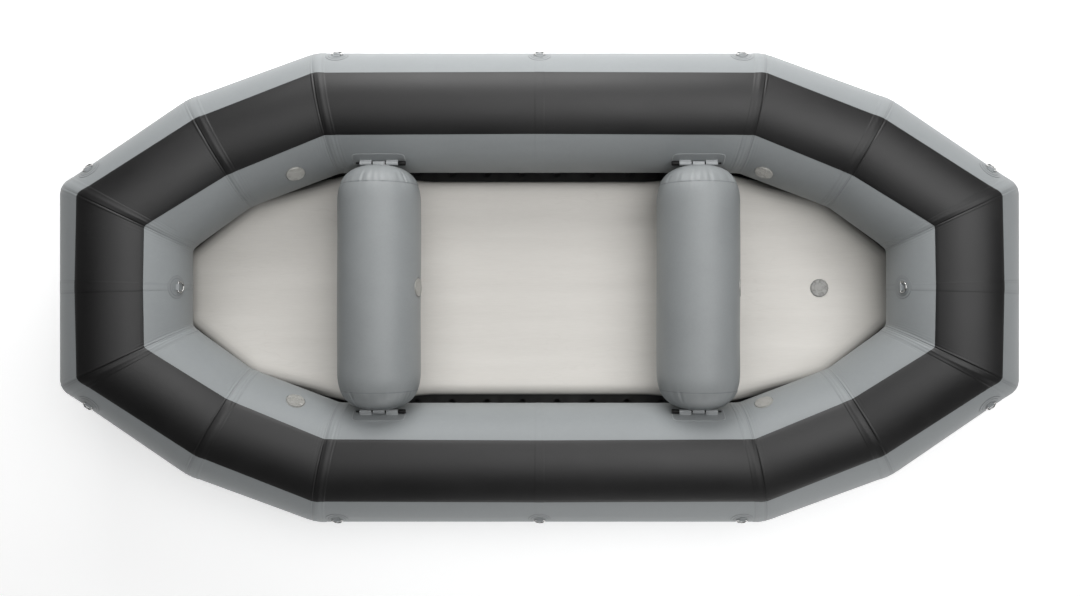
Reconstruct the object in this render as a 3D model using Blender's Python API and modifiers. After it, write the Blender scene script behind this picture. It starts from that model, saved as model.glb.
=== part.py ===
"""Whitewater raft: four air chambers, a laced self-bailing floor and two hinged thwarts.

Metres, +Z up. The hull stands on z = 0 with its middle over the origin; the bow points along +X
and the port side lies towards +Y. Every inflated part is a solid of its blown-up shape.
"""

import math

import bmesh
import bpy
from mathutils import Matrix, Vector

UP = Vector((0, 0, 1))
SIDES = {"port": 1, "starboard": -1}
ENDS = {"bow": 1, "stern": -1}

# Fit between pieces that touch
SEAT_GAP = 0.0003
CUT_OVERRUN = 0.010
SHARP_EDGE_DEG = 35

# Hull tubes: the centreline of one quarter, from the middle of a side to the middle of an end
TUBE_RADIUS = 0.254
TUBE_FACETS = 36
REST_FLAT_DEPTH = 0.004
SIDE_AXIS_Y = 0.756
SHOULDER_BEYOND_HINGE = 0.130
CHEEK_BEYOND_SHOULDER = 0.459
CHEEK_Y = 0.574
CHEEK_RISE = 0.040
END_BEYOND_CHEEK = 0.353
CORNER_Y = 0.291
END_RISE = 0.130

# Dark wear strip over the crown of the tubes
STRIP_HALF_FACETS = 3
STRIP_THICKNESS = 0.0015
STRIP_LEAN_DEG = (0, -1, -5, -2, -5)

# Floor: flat drop-stitch slab with a round edge, set in from the tubes' centreline
FLOOR_BOTTOM_Z = 0.020
FLOOR_THICKNESS = 0.120
FLOOR_EDGE_RADIUS = 0.055
FLOOR_EDGE_STEPS = 2
FLOOR_WAIST_INSET = 0.274
FLOOR_WAIST_HALF_LENGTH = 0.490
FLOOR_FLARE_BEFORE_SHOULDER = 0.117
FLOOR_SIDE_INSET = 0.244
FLOOR_CHEEK_INSET = 0.182
FLOOR_END_INSET = 0.132
FLOOR_FILLETS = {1: 0.150, 2: 0.150, 3: 0.090}
FLOOR_FILLET_POINTS = {1: 2, 2: 2, 3: 3}

# Bail flap between floor and tubes, with its drain holes
FLAP_THICKNESS = 0.002
FLAP_BELOW_DEG = (50, 50, 60, 76, 80)
FLAP_STEP_SHARES = (0, 0.5)
BAIL_HOLE_RADIUS = 0.015
BAIL_HOLE_FACETS = 6
BAIL_HOLE_PITCH = 0.159
BAIL_HOLE_COUNT = 8
BAIL_HOLE_INSET = 0.036

# Thwarts
AFT_THWART_FROM_MIDDLE = 0.675
FORE_THWART_FROM_MIDDLE = 0.668
THWART_RADIUS = 0.174
THWART_RISE = 0.120
THWART_DOME_DEPTH = 0.170
THWART_TIP_FLAT = 0.056
THWART_DOME_POWER = 2.7
THWART_DOME_SHARES = (0.50, 0.73, 0.89, 0.97)
THWART_FACETS = 24

# Thwart hinges: a patch with two knuckles on the tube, a leaf with one on the thwart, and a pin
HINGE_PIN_RISE = 0.130
HINGE_PIN_RADIUS = 0.004
HINGE_KNUCKLE_RADIUS = 0.009
HINGE_KNUCKLE_LENGTH = 0.050
HINGE_KNUCKLE_SPACE = 0.0055
HINGE_WEB = 0.0023
HINGE_LOOP_POINTS = 7
HINGE_BORE_FACETS = 8
HINGE_PATCH_THICKNESS = 0.0025
HINGE_PATCH_HALF_LENGTH = 0.111
HINGE_PATCH_HALF_WIDTH = 0.044
HINGE_PATCH_POWER = 7
HINGE_LEAF_THICKNESS = 0.003
HINGE_LEAF_HALF_LENGTH = 0.044
HINGE_LEAF_HALF_WIDTH = 0.021
HINGE_LEAF_POWER = 5
HINGE_RUNNING_GAP = 0.0004
PIN_KNOB_RADIUS = 0.0095
PIN_KNOB_LENGTH = 0.032
PIN_TAIL = 0.016
PIN_CHAMFER = 0.002
PIN_FACETS = 10

# D-rings on their patches
RING_WIRE_RADIUS = 0.003
RING_HALF_WIDTH = 0.0215
RING_LEG = 0.009
RING_ARC_POINTS = 7
RING_PATCH_RADIUS = 0.048
RING_PATCH_POWER = 2
PATCH_FACETS = 12
PATCH_RING_SHARES = (0.5, 1.0)
RING_PATCH_THICKNESS = 0.0018
RING_PATCH_SINK = 0.003
RING_LOOP_WALL = 0.002
RING_LOOP_LENGTH = 0.028
SIDE_RING_BACK = 0.066
SIDE_RING_ABOVE_DEG = 32
CORNER_RING_BACK = 0.014
CORNER_RING_ABOVE_DEG = 39
END_RING_ABOVE_DEG = 20

# Lift valves
VALVE_FLANGE_RADIUS = 0.041
VALVE_FLANGE_THICKNESS = 0.0025
VALVE_BORE_RADIUS = 0.0245
VALVE_BARREL_WALL = 0.0055
VALVE_DEPTH = 0.032
VALVE_WEB = 0.004
VALVE_SEAT_DEPTH = 0.0015
VALVE_GUIDE_RADIUS = 0.0045
VALVE_PORT_RADIUS = 0.0068
VALVE_PORT_FACETS = 6
VALVE_PORT_CIRCLE = 0.0140
VALVE_PORT_COUNT = 3
VALVE_SEAL_RADIUS = 0.0210
VALVE_SEAL_THICKNESS = 0.003
VALVE_TRAVEL = 0.006
VALVE_STEM_RADIUS = 0.0040
VALVE_BUTTON_RADIUS = 0.0085
VALVE_BUTTON_THICKNESS = 0.003
VALVE_BUTTON_DROP = 0.009
VALVE_FACETS = 14
VALVE_STEM_FACETS = 8
CAP_RADIUS = 0.038
CAP_THICKNESS = 0.005
CAP_EDGE = 0.0015
CAP_SKIRT = 0.007
CAP_SKIRT_WALL = 0.003
CAP_NOTCH_COUNT = 5
CAP_NOTCH_RADIUS = 0.0095
CAP_NOTCH_CIRCLE = 0.0320
CAP_NOTCH_DEPTH = 0.003
CAP_NOTCH_FACETS = 6
CHAMBER_VALVE_ALONG = {"bow": 0.139, "stern": 0.213}
CHAMBER_VALVE_ABOVE_DEG = {"bow": 20, "stern": 29}
THWART_VALVE_ABOVE_DEG = 12
FLOOR_VALVE_BEHIND_CHEEK = 0.125

# What follows from the sizes above
TUBE_AXIS_Z = TUBE_RADIUS - REST_FLAT_DEPTH
THWART_STATIONS = {"aft": -AFT_THWART_FROM_MIDDLE, "fore": FORE_THWART_FROM_MIDDLE}
HINGES_END_X = max(AFT_THWART_FROM_MIDDLE, FORE_THWART_FROM_MIDDLE) + HINGE_PATCH_HALF_LENGTH
SHOULDER_X = HINGES_END_X + SHOULDER_BEYOND_HINGE
CHEEK_X = SHOULDER_X + CHEEK_BEYOND_SHOULDER
END_AXIS_X = CHEEK_X + END_BEYOND_CHEEK
VALVE_BARREL_RADIUS = VALVE_BORE_RADIUS + VALVE_BARREL_WALL
PIN_OFF_TUBE = SEAT_GAP + HINGE_PATCH_THICKNESS + HINGE_WEB + HINGE_KNUCKLE_RADIUS
PIN_FROM_AXIS = TUBE_RADIUS + PIN_OFF_TUBE
PIN_Y = SIDE_AXIS_Y - math.sqrt(PIN_FROM_AXIS**2 - HINGE_PIN_RISE**2)
PIN_ABOVE_DEG = math.degrees(math.asin(HINGE_PIN_RISE / PIN_FROM_AXIS))
LEAF_PIN_HEIGHT = HINGE_KNUCKLE_RADIUS + SEAT_GAP + HINGE_LEAF_THICKNESS + SEAT_GAP
THWART_HALF_LENGTH = PIN_Y - LEAF_PIN_HEIGHT
FLOOR_TOP_Z = FLOOR_BOTTOM_Z + FLOOR_THICKNESS
FLOOR_MID_Z = FLOOR_BOTTOM_Z + FLOOR_THICKNESS / 2


def clear_scene():
    """Start from an empty scene."""
    for item in list(bpy.data.objects):
        bpy.data.objects.remove(item, do_unlink=True)


def new_collection(name):
    """A collection of the scene."""
    made = bpy.data.collections.new(name)
    bpy.context.scene.collection.children.link(made)
    return made


def new_material(name, colour, roughness, metallic=0.0):
    """A plain finish."""
    made = bpy.data.materials.new(name)
    made.use_nodes = True
    shader = made.node_tree.nodes["Principled BSDF"]
    shader.inputs["Base Color"].default_value = (*colour, 1.0)
    shader.inputs["Roughness"].default_value = roughness
    shader.inputs["Metallic"].default_value = metallic
    return made


clear_scene()
PARTS = new_collection("whitewater_raft")
CUTTERS = new_collection("cutters")
HULL_GREY = new_material("hull_grey", (0.30, 0.32, 0.33), 0.50)
STRIP_BLACK = new_material("strip_black", (0.045, 0.044, 0.045), 0.42)
FLOOR_SAND = new_material("floor_sand", (0.60, 0.57, 0.53), 0.70)
FLAP_DARK = new_material("flap_dark", (0.035, 0.035, 0.035), 0.65)
HINGE_GREY = new_material("hinge_grey", (0.26, 0.27, 0.28), 0.45)
PIN_BLACK = new_material("pin_black", (0.02, 0.02, 0.02), 0.35)
STEEL = new_material("ring_steel", (0.72, 0.72, 0.71), 0.18, 1.0)
VALVE_GREY = new_material("valve_grey", (0.34, 0.34, 0.32), 0.55)
VALVE_DARK = new_material("valve_dark", (0.06, 0.06, 0.06), 0.50)


def finish(made, finish_material, collection):
    """Link an object, give it its material and shade its round faces smooth."""
    collection.objects.link(made)
    if finish_material:
        made.data.materials.append(finish_material)
    if collection is CUTTERS:
        made.hide_render = True
        made.display_type = "WIRE"
    if made.type == "MESH":
        made.data.shade_smooth()
        made.data.set_sharp_from_angle(angle=math.radians(SHARP_EDGE_DEG))
    return made


def mesh_object(name, vertices, faces, finish_material=None, collection=PARTS, place=Matrix()):
    """An object of a closed mesh, its faces turned outwards."""
    mesh = bpy.data.meshes.new(name)
    mesh.from_pydata([tuple(point) for point in vertices], [], faces)
    work = bmesh.new()
    work.from_mesh(mesh)
    bmesh.ops.remove_doubles(work, verts=work.verts, dist=SEAT_GAP / 100)
    bmesh.ops.recalc_face_normals(work, faces=work.faces)
    work.to_mesh(mesh)
    work.free()
    made = bpy.data.objects.new(name, mesh)
    made.matrix_world = place
    return finish(made, finish_material, collection)


def halves(near, far, far_on, near_on, swap=False):
    """Two triangles of a four-cornered patch; a neighbour that hugs it takes the same diagonal."""
    if swap:
        return [[near, far, near_on], [far, far_on, near_on]]
    return [[near, far, far_on], [near, far_on, near_on]]


def loft(name, rings, finish_material=None, collection=PARTS):
    """A solid skinned over closed rings of equal count, with a flat cap on each end ring."""
    count = len(rings[0])
    vertices = [point for ring in rings for point in ring]
    faces = [list(range(count)), list(range(len(vertices) - count, len(vertices)))]
    for row in range(len(rings) - 1):
        for step in range(count):
            near, far = row * count + step, row * count + (step + 1) % count
            faces += halves(near, far, far + count, near + count)
    return mesh_object(name, vertices, faces, finish_material, collection)


def lofted_band(name, under, over, swapped_rows, finish_material):
    """A thin band between two open sheets of points; its first rows take the other diagonal."""
    rows, count = len(under), len(under[0])
    layer = rows * count
    vertices = [point for sheet in (under, over) for row in sheet for point in row]
    faces = []
    for row in range(rows - 1):
        for step in range(count - 1):
            near = row * count + step
            for corner in (near, near + layer):
                patch = (corner, corner + 1, corner + 1 + count, corner + count)
                faces += halves(*patch, row < swapped_rows)
        for edge in (row * count, (row + 1) * count - 1):
            faces.append([edge, edge + count, edge + count + layer, edge + layer])
    for end in (0, layer - count):
        for edge in range(end, end + count - 1):
            faces.append([edge, edge + 1, edge + 1 + layer, edge + layer])
    return mesh_object(name, vertices, faces, finish_material)


def meshed(drawn, finish_material, collection):
    """Turn a curve object into a mesh object at the same place, with its caps welded."""
    bpy.context.view_layer.update()
    graph = bpy.context.evaluated_depsgraph_get()
    mesh = bpy.data.meshes.new_from_object(drawn.evaluated_get(graph))
    work = bmesh.new()
    work.from_mesh(mesh)
    bmesh.ops.remove_doubles(work, verts=work.verts, dist=SEAT_GAP / 100)
    bmesh.ops.recalc_face_normals(work, faces=work.faces)
    work.to_mesh(mesh)
    work.free()
    name, place = drawn.name, drawn.matrix_world.copy()
    bpy.data.objects.remove(drawn, do_unlink=True)
    made = bpy.data.objects.new(name, mesh)
    made.matrix_world = place
    mesh.materials.clear()
    return finish(made, finish_material, collection)


def flat_plate(name, outlines, half_thickness, place, finish_material=None, collection=PARTS, edge=0.0):
    """A plate of one outline with holes, drawn in its own X and Y, with a round edge if asked."""
    drawn = bpy.data.curves.new(name, "CURVE")
    drawn.dimensions = "2D"
    drawn.fill_mode = "BOTH"
    drawn.extrude = half_thickness - edge
    drawn.bevel_depth = edge
    drawn.bevel_resolution = FLOOR_EDGE_STEPS
    drawn.offset = -edge
    for outline in outlines:
        spline = drawn.splines.new("POLY")
        spline.points.add(len(outline) - 1)
        for point, (x, y) in zip(spline.points, outline):
            point.co = (x, y, 0, 1)
        spline.use_cyclic_u = True
    made = bpy.data.objects.new(name, drawn)
    PARTS.objects.link(made)
    made.matrix_world = place
    return meshed(made, finish_material, collection)


def turned(name, profile, facets, place, finish_material=None, collection=PARTS, closed=False):
    """A shape turned about its own Z from a profile of radius and height, outer side downwards."""
    mesh = bpy.data.meshes.new(name)
    edges = [(step, step + 1) for step in range(len(profile) - 1)]
    if closed:
        edges.append((len(profile) - 1, 0))
    mesh.from_pydata([(radius, 0, height) for radius, height in profile], edges, [])
    made = bpy.data.objects.new(name, mesh)
    made.matrix_world = place
    screw = made.modifiers.new("turn", "SCREW")
    screw.axis = "Z"
    screw.steps = facets
    screw.render_steps = facets
    screw.use_merge_vertices = True
    screw.merge_threshold = SEAT_GAP / 10
    screw.use_smooth_shade = True
    return finish(made, finish_material, collection)


def combine(made, others, operation):
    """Join solids to an object or cut them from it."""
    for other in others:
        step = made.modifiers.new(other.name, "BOOLEAN")
        step.operation = operation
        step.solver = "EXACT"
        step.object = other


def arc(centre, radius, start_deg, end_deg, points):
    """Points of a round arc."""
    made = []
    for step in range(points):
        angle = math.radians(start_deg + (end_deg - start_deg) * step / (points - 1))
        made.append((centre[0] + radius * math.cos(angle), centre[1] + radius * math.sin(angle)))
    return made


def superellipse(half_x, half_y, power, facets):
    """Outline of a rounded plate: power 2 gives an ellipse, and a higher one squarer corners."""
    points = []
    for step in range(facets):
        angle = 2 * math.pi * step / facets
        cosine = math.cos(angle)
        sine = math.sin(angle)
        x = half_x * math.copysign(abs(cosine) ** (2 / power), cosine)
        y = half_y * math.copysign(abs(sine) ** (2 / power), sine)
        points.append((x, y))
    return points


def disc_outline(radius, facets, centre=(0, 0)):
    """A round outline whose flats clear the radius."""
    clear = radius / math.cos(math.pi / facets)
    return arc(centre, clear, 0, 360 - 360 / facets, facets)


def axes_matrix(origin, x_axis, z_axis):
    """A place with its own X and Z directions."""
    y_axis = z_axis.cross(x_axis)
    made = Matrix((x_axis, y_axis, z_axis)).transposed().to_4x4()
    made.translation = origin
    return made


class Quarter:
    """The tube centreline of one quarter of the hull, and places measured from it."""

    def __init__(self, end, side):
        self.hand = end * side
        corners = (
            (0, SIDE_AXIS_Y, 0),
            (SHOULDER_X, SIDE_AXIS_Y, 0),
            (CHEEK_X, CHEEK_Y, CHEEK_RISE),
            (END_AXIS_X, CORNER_Y, END_RISE),
            (END_AXIS_X, 0, END_RISE),
        )
        self.corners = [Vector((x * end, y * side, TUBE_AXIS_Z + rise)) for x, y, rise in corners]
        self.runs = len(corners) - 1

    def along(self, run):
        """Direction of a run, from the middle of the side towards the end."""
        return (self.corners[run + 1] - self.corners[run]).normalized()

    def outboard(self, run):
        """Level direction square to a run, away from the cockpit."""
        return UP.cross(self.along(run)).normalized() * self.hand

    def crown(self, run):
        """Direction of the tube's top line on a run."""
        return self.along(run).cross(self.outboard(run)) * self.hand

    def mitre(self, corner):
        """Normal of the seam plane at a corner, which halves the angle between its two runs."""
        before = self.along(max(corner - 1, 0))
        after = self.along(min(corner, self.runs - 1))
        return (before + after).normalized()

    def surface(self, run, corner, degrees, radius=TUBE_RADIUS, back=0.0):
        """Point of a run's round surface on the seam plane at a corner, by its angle from the crown.

        The round section's point slides along the run until it meets the plane, and then back by a length.
        """
        angle = math.radians(degrees)
        offset = (self.crown(run) * math.cos(angle) + self.outboard(run) * math.sin(angle)) * radius
        normal = self.mitre(corner)
        slide = -offset.dot(normal) / self.along(run).dot(normal)
        return self.corners[corner] + offset + self.along(run) * (slide + back)

    def seat(self, run, distance, degrees, height=0.0):
        """Place on the surface: own Z points out of the tube and own X runs along it."""
        angle = math.radians(degrees)
        normal = self.crown(run) * math.cos(angle) + self.outboard(run) * math.sin(angle)
        origin = self.corners[run] + self.along(run) * distance + normal * (TUBE_RADIUS + height)
        return axes_matrix(origin, self.along(run), normal)

    def ring_run(self, corner):
        """The run whose round section is carried to a corner."""
        return max(corner - 1, 0)

    def ring(self, corner, degrees, radius=TUBE_RADIUS):
        """Section of the tube at a corner; the two outer ones stop half a seam gap short."""
        run = self.ring_run(corner)
        back = {0: SEAT_GAP / 2, self.runs: -SEAT_GAP / 2}.get(corner, 0.0)
        lean = STRIP_LEAN_DEG[corner]
        return [self.surface(run, corner, angle + lean, radius, back) for angle in degrees]

    def floor_corner(self, corner, grow=0.0):
        """Corner of the floor's outline, set in from the two runs that meet there."""
        insets = {
            1: (FLOOR_SIDE_INSET, FLOOR_SIDE_INSET),
            2: (FLOOR_CHEEK_INSET, FLOOR_CHEEK_INSET),
            3: (FLOOR_CHEEK_INSET, FLOOR_END_INSET),
        }[corner]
        before, after = self.outboard(corner - 1), self.outboard(corner)
        facing = before.x * after.y - before.y * after.x
        low, high = grow - insets[0], grow - insets[1]
        across = (low * after.y - high * before.y) / facing
        forward = (high * before.x - low * after.x) / facing
        return self.corners[corner].to_2d() + Vector((across, forward))

    def floor_waist(self, grow=0.0):
        """Where the narrow waist of the floor's side ends, and where its flare ends."""
        end = math.copysign(1, self.corners[1].x)
        side = math.copysign(1, self.corners[1].y)
        waist_y = SIDE_AXIS_Y - FLOOR_WAIST_INSET + grow
        flare_y = SIDE_AXIS_Y - FLOOR_SIDE_INSET + grow
        flare_x = SHOULDER_X - FLOOR_FLARE_BEFORE_SHOULDER
        return [
            Vector((FLOOR_WAIST_HALF_LENGTH * end, waist_y * side)),
            Vector((flare_x * end, flare_y * side)),
        ]

    def floor_edges(self, run, grow=0.0):
        """The floor's outline beside a run, as points and their shares of the run."""
        stop = self.floor_corner(run + 1, grow) if run < 3 else Vector((self.floor_corner(3, grow).x, 0))
        if run == 0:
            waist, flare = self.floor_waist(grow)
            start = Vector((0, waist.y))
            return [(0, start)] + [(point.x / stop.x, point) for point in (waist, flare, stop)]
        start = self.floor_corner(run, grow)
        return [(share, start.lerp(stop, share)) for share in (*FLAP_STEP_SHARES, 1)]


QUARTERS = {(end, side): Quarter(ENDS[end], SIDES[side]) for end in ENDS for side in SIDES}


def wrapped_plate(name, place, half_x, half_y, power, low, high):
    """A thin plate that hugs a hull tube, with a superellipse outline.

    A point at u along the tube and v round it lies at the angle v over the tube's radius. Its flat
    facets span half the width at most, and the plate is lifted by their sag.
    """
    facets = PATCH_FACETS
    widest = half_y * PATCH_RING_SHARES[0]
    sag = TUBE_RADIUS * (1 - math.cos(widest / (2 * TUBE_RADIUS)))
    vertices = []
    faces = []
    for level in (low + sag, high + sag):
        span = TUBE_RADIUS + level
        vertices.append((0, 0, level))
        for share in PATCH_RING_SHARES:
            for u, v in superellipse(half_x * share, half_y * share, power, facets):
                turn = v / TUBE_RADIUS
                vertices.append((u, span * math.sin(turn), span * math.cos(turn) - TUBE_RADIUS))
    layer = len(vertices) // 2
    for start in (0, layer):
        for step in range(facets):
            near, far = start + 1 + step, start + 1 + (step + 1) % facets
            faces.append([start, near, far])
            faces.append([near, near + facets, far + facets, far])
    for step in range(facets):
        near, far = 1 + facets + step, 1 + facets + (step + 1) % facets
        faces.append([near, far, far + layer, near + layer])
    return mesh_object(name, vertices, faces, None, CUTTERS, place)


def pin_loop(name, place, pin_height, bore, wall, length, offset, foot):
    """A block with a round top and a bore along its own X, standing on a foot level."""
    outer = bore + wall
    outline = [(pin_height - foot, -outer), (pin_height - foot, outer)]
    outline += arc((0, 0), outer, 90, 270, HINGE_LOOP_POINTS)
    turn = axes_matrix(Vector((offset, 0, pin_height)), Vector((0, 0, -1)), Vector((1, 0, 0)))
    hole = disc_outline(bore, HINGE_BORE_FACETS)
    return flat_plate(name, [outline, hole], length / 2, place @ turn, None, CUTTERS)


def adopt(name, source, finish_material):
    """Bring a cutter's shape into the parts as an object of its own."""
    made = bpy.data.objects.new(name, source.data.copy())
    made.matrix_world = source.matrix_world
    bpy.data.objects.remove(source, do_unlink=True)
    return finish(made, finish_material, PARTS)


def build_floor():
    """The floor slab, with its outline filleted at every corner and its pocket for the valve."""
    ring = []
    for key in (("bow", "port"), ("bow", "starboard"), ("stern", "starboard"), ("stern", "port")):
        quarter = QUARTERS[key]
        corners = [(point, 0) for point in quarter.floor_waist()]
        corners += [(quarter.floor_corner(corner), corner) for corner in FLOOR_FILLETS]
        ring += corners if quarter.hand > 0 else corners[::-1]
    outline = []
    for step, (point, corner) in enumerate(ring):
        if corner == 0:
            outline.append(tuple(point))
            continue
        radius = FLOOR_FILLETS[corner]
        before = (ring[step - 1][0] - point).normalized()
        after = (ring[(step + 1) % len(ring)][0] - point).normalized()
        half = before.angle(after) / 2
        centre = point + (before + after).normalized() * radius / math.sin(half)
        reach = radius / math.tan(half)
        gaps = FLOOR_FILLET_POINTS[corner] - 1
        for count in range(gaps + 1):
            chord = (point + before * reach).lerp(point + after * reach, count / gaps)
            outline.append(tuple(centre + (chord - centre).normalized() * radius))
    place = Matrix.Translation((0, 0, FLOOR_MID_Z))
    half_thickness = FLOOR_THICKNESS / 2
    return flat_plate(
        "floor", [outline[::-1]], half_thickness, place, FLOOR_SAND, edge=FLOOR_EDGE_RADIUS
    )


def build_chambers():
    """The four air chambers, each a mitred sweep round one quarter of the hull."""
    angles = [360 * step / TUBE_FACETS for step in range(TUBE_FACETS)]
    made = {}
    for key, quarter in QUARTERS.items():
        rings = [quarter.ring(corner, angles) for corner in range(quarter.runs + 1)]
        for ring in rings:
            for point in ring:
                point.z = max(point.z, 0)
        made[key] = loft("chamber_" + "_".join(key), rings, HULL_GREY)
    return made


def build_strips():
    """The dark wear strip of each side, from the middle of the stern to the middle of the bow."""
    step = 360 / TUBE_FACETS
    angles = [step * count for count in range(-STRIP_HALF_FACETS, STRIP_HALF_FACETS + 1)]
    low = TUBE_RADIUS + SEAT_GAP
    high = low + STRIP_THICKNESS
    for side in SIDES:
        aft, fore = QUARTERS["stern", side], QUARTERS["bow", side]
        order = [(aft, corner) for corner in (4, 3, 2, 1)] + [(fore, corner) for corner in (0, 1, 2, 3, 4)]
        under = [quarter.ring(corner, angles, low) for quarter, corner in order]
        over = [quarter.ring(corner, angles, high) for quarter, corner in order]
        lofted_band("wear_strip_" + side, under, over, aft.runs, STRIP_BLACK)


def flap_edges(quarter):
    """Pairs of the flap's inner point, at the floor, and outer point, at the tube, along a quarter."""
    radius = TUBE_RADIUS + SEAT_GAP + FLAP_THICKNESS / 2
    pairs = []
    for run in range(quarter.runs):
        last = run == quarter.runs - 1
        edges = quarter.floor_edges(run, SEAT_GAP)
        for share, inner in edges if last else edges[:-1]:
            below = FLAP_BELOW_DEG[run] + (FLAP_BELOW_DEG[run + 1] - FLAP_BELOW_DEG[run]) * share
            start = quarter.surface(run, run, -90 - below, radius)
            stop = quarter.surface(run, run + 1, -90 - below, radius)
            pairs.append([Vector((*inner, FLOOR_MID_Z)), start.lerp(stop, share)])
    return pairs


def build_flaps():
    """The bail flap of each side, a band laid round the hull and drilled with drain holes."""
    half = UP * FLAP_THICKNESS / 2
    for side, sign in SIDES.items():
        aft, fore = flap_edges(QUARTERS["stern", side]), flap_edges(QUARTERS["bow", side])
        rows = aft[:0:-1] + fore
        trim = Vector((0, sign * SEAT_GAP / 2, 0))
        for end in (0, -1):
            rows[end] = [point + trim for point in rows[end]]
        under = [[point - half for point in row] for row in rows]
        over = [[point + half for point in row] for row in rows]
        flap = lofted_band("bail_flap_" + side, under, over, len(aft) - 1, FLAP_DARK)
        line_y = sign * (SIDE_AXIS_Y - FLOOR_WAIST_INSET + BAIL_HOLE_INSET)
        drills = []
        for count in range(BAIL_HOLE_COUNT):
            x = BAIL_HOLE_PITCH * (count - (BAIL_HOLE_COUNT - 1) / 2)
            outline = disc_outline(BAIL_HOLE_RADIUS, BAIL_HOLE_FACETS, (x, line_y))
            place = Matrix.Translation((0, 0, FLOOR_MID_Z))
            name = f"drill_{side}_{count}"
            drills.append(flat_plate(name, [outline], FLOOR_THICKNESS / 2, place, None, CUTTERS))
        combine(flap, drills, "DIFFERENCE")


def dome_profile():
    """Half of a thwart's profile, from the flat tip out to the full radius."""
    points = [(0, THWART_HALF_LENGTH), (THWART_TIP_FLAT, THWART_HALF_LENGTH)]
    shoulder = THWART_HALF_LENGTH - THWART_DOME_DEPTH
    for share in THWART_DOME_SHARES:
        rise = (1 - share**THWART_DOME_POWER) ** (1 / THWART_DOME_POWER)
        points.append((THWART_RADIUS * share, shoulder + THWART_DOME_DEPTH * rise))
    points.append((THWART_RADIUS, shoulder))
    return points


def build_thwarts():
    """The two thwarts, turned about their long axis."""
    made = {}
    half = dome_profile()
    profile = half + [(radius, -height) for radius, height in half[::-1]]
    for name, x in THWART_STATIONS.items():
        place = axes_matrix(Vector((x, 0, TUBE_AXIS_Z + THWART_RISE)), Vector((1, 0, 0)), Vector((0, 1, 0)))
        made[name] = turned("thwart_" + name, profile, THWART_FACETS, place, HULL_GREY)
    return made


def knuckle_offset(count):
    """Distance of a knuckle from the middle of its hinge."""
    return count * (HINGE_KNUCKLE_LENGTH + HINGE_KNUCKLE_SPACE)


def build_hinges():
    """Four hinges: tube patch with two knuckles, thwart leaf with one, and a pin with a knob."""
    bore = HINGE_PIN_RADIUS + HINGE_RUNNING_GAP
    wall = HINGE_KNUCKLE_RADIUS - bore
    for thwart, x in THWART_STATIONS.items():
        towards_middle = -math.copysign(1, x)
        for side, sign in SIDES.items():
            name = f"{thwart}_{side}"
            quarter = QUARTERS["bow" if x > 0 else "stern", side]
            tube = quarter.seat(0, abs(x), PIN_ABOVE_DEG - 90)
            patch_top = SEAT_GAP + HINGE_PATCH_THICKNESS
            patch = wrapped_plate(
                "patch", tube, HINGE_PATCH_HALF_LENGTH, HINGE_PATCH_HALF_WIDTH, HINGE_PATCH_POWER,
                SEAT_GAP, patch_top,
            )
            patch = adopt("hinge_base_" + name, patch, HINGE_GREY)
            foot = patch_top - HINGE_PATCH_THICKNESS / 2
            loops = []
            for count in (-1, 1):
                loop_name = f"knuckle_{name}_{count}"
                offset = knuckle_offset(count)
                loops.append(pin_loop(
                    loop_name, tube, PIN_OFF_TUBE, bore, wall, HINGE_KNUCKLE_LENGTH, offset, foot
                ))
            combine(patch, loops, "UNION")

            outward = Vector((0, sign, 0))
            pin_z = TUBE_AXIS_Z + HINGE_PIN_RISE
            tip = axes_matrix(Vector((x, sign * THWART_HALF_LENGTH, pin_z)), Vector((1, 0, 0)), outward)
            half_plate = HINGE_LEAF_THICKNESS / 2
            outline = superellipse(
                HINGE_LEAF_HALF_LENGTH, HINGE_LEAF_HALF_WIDTH, HINGE_LEAF_POWER, PATCH_FACETS
            )
            lift = Matrix.Translation((0, 0, SEAT_GAP + half_plate))
            leaf = flat_plate("hinge_leaf_" + name, [outline], half_plate, tip @ lift, HINGE_GREY)
            foot = SEAT_GAP + half_plate
            loop = pin_loop(
                "leaf_knuckle_" + name, tip, LEAF_PIN_HEIGHT, bore, wall, HINGE_KNUCKLE_LENGTH, 0, foot
            )
            combine(leaf, [loop], "UNION")

            reach = knuckle_offset(1) + HINGE_KNUCKLE_LENGTH / 2 + SEAT_GAP
            centre = Vector((x, sign * PIN_Y, pin_z))
            place = axes_matrix(centre, UP, Vector((towards_middle, 0, 0)))
            radius = HINGE_PIN_RADIUS
            knob = PIN_KNOB_RADIUS
            profile = [
                (0, reach + PIN_KNOB_LENGTH),
                (knob - PIN_CHAMFER, reach + PIN_KNOB_LENGTH),
                (knob, reach + PIN_KNOB_LENGTH - PIN_CHAMFER),
                (knob, reach + PIN_CHAMFER),
                (knob - PIN_CHAMFER, reach),
                (radius, reach),
                (radius, -reach - PIN_TAIL + PIN_CHAMFER),
                (radius - PIN_CHAMFER, -reach - PIN_TAIL),
                (0, -reach - PIN_TAIL),
            ]
            turned("hinge_pin_" + name, profile, PIN_FACETS, place, PIN_BLACK)


def ring_patch(name, place, low, high):
    """A round patch with a webbing loop for a ring's straight bar, as two solids."""
    round_patch = wrapped_plate(
        "patch_" + name, place, RING_PATCH_RADIUS, RING_PATCH_RADIUS, RING_PATCH_POWER, low, high
    )
    bore = RING_WIRE_RADIUS + SEAT_GAP
    height = high + RING_LOOP_WALL + bore
    foot = high - RING_PATCH_THICKNESS / 2
    loop = pin_loop("loop_" + name, place, height, bore, RING_LOOP_WALL, RING_LOOP_LENGTH, 0, foot)
    return round_patch, loop, height


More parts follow.
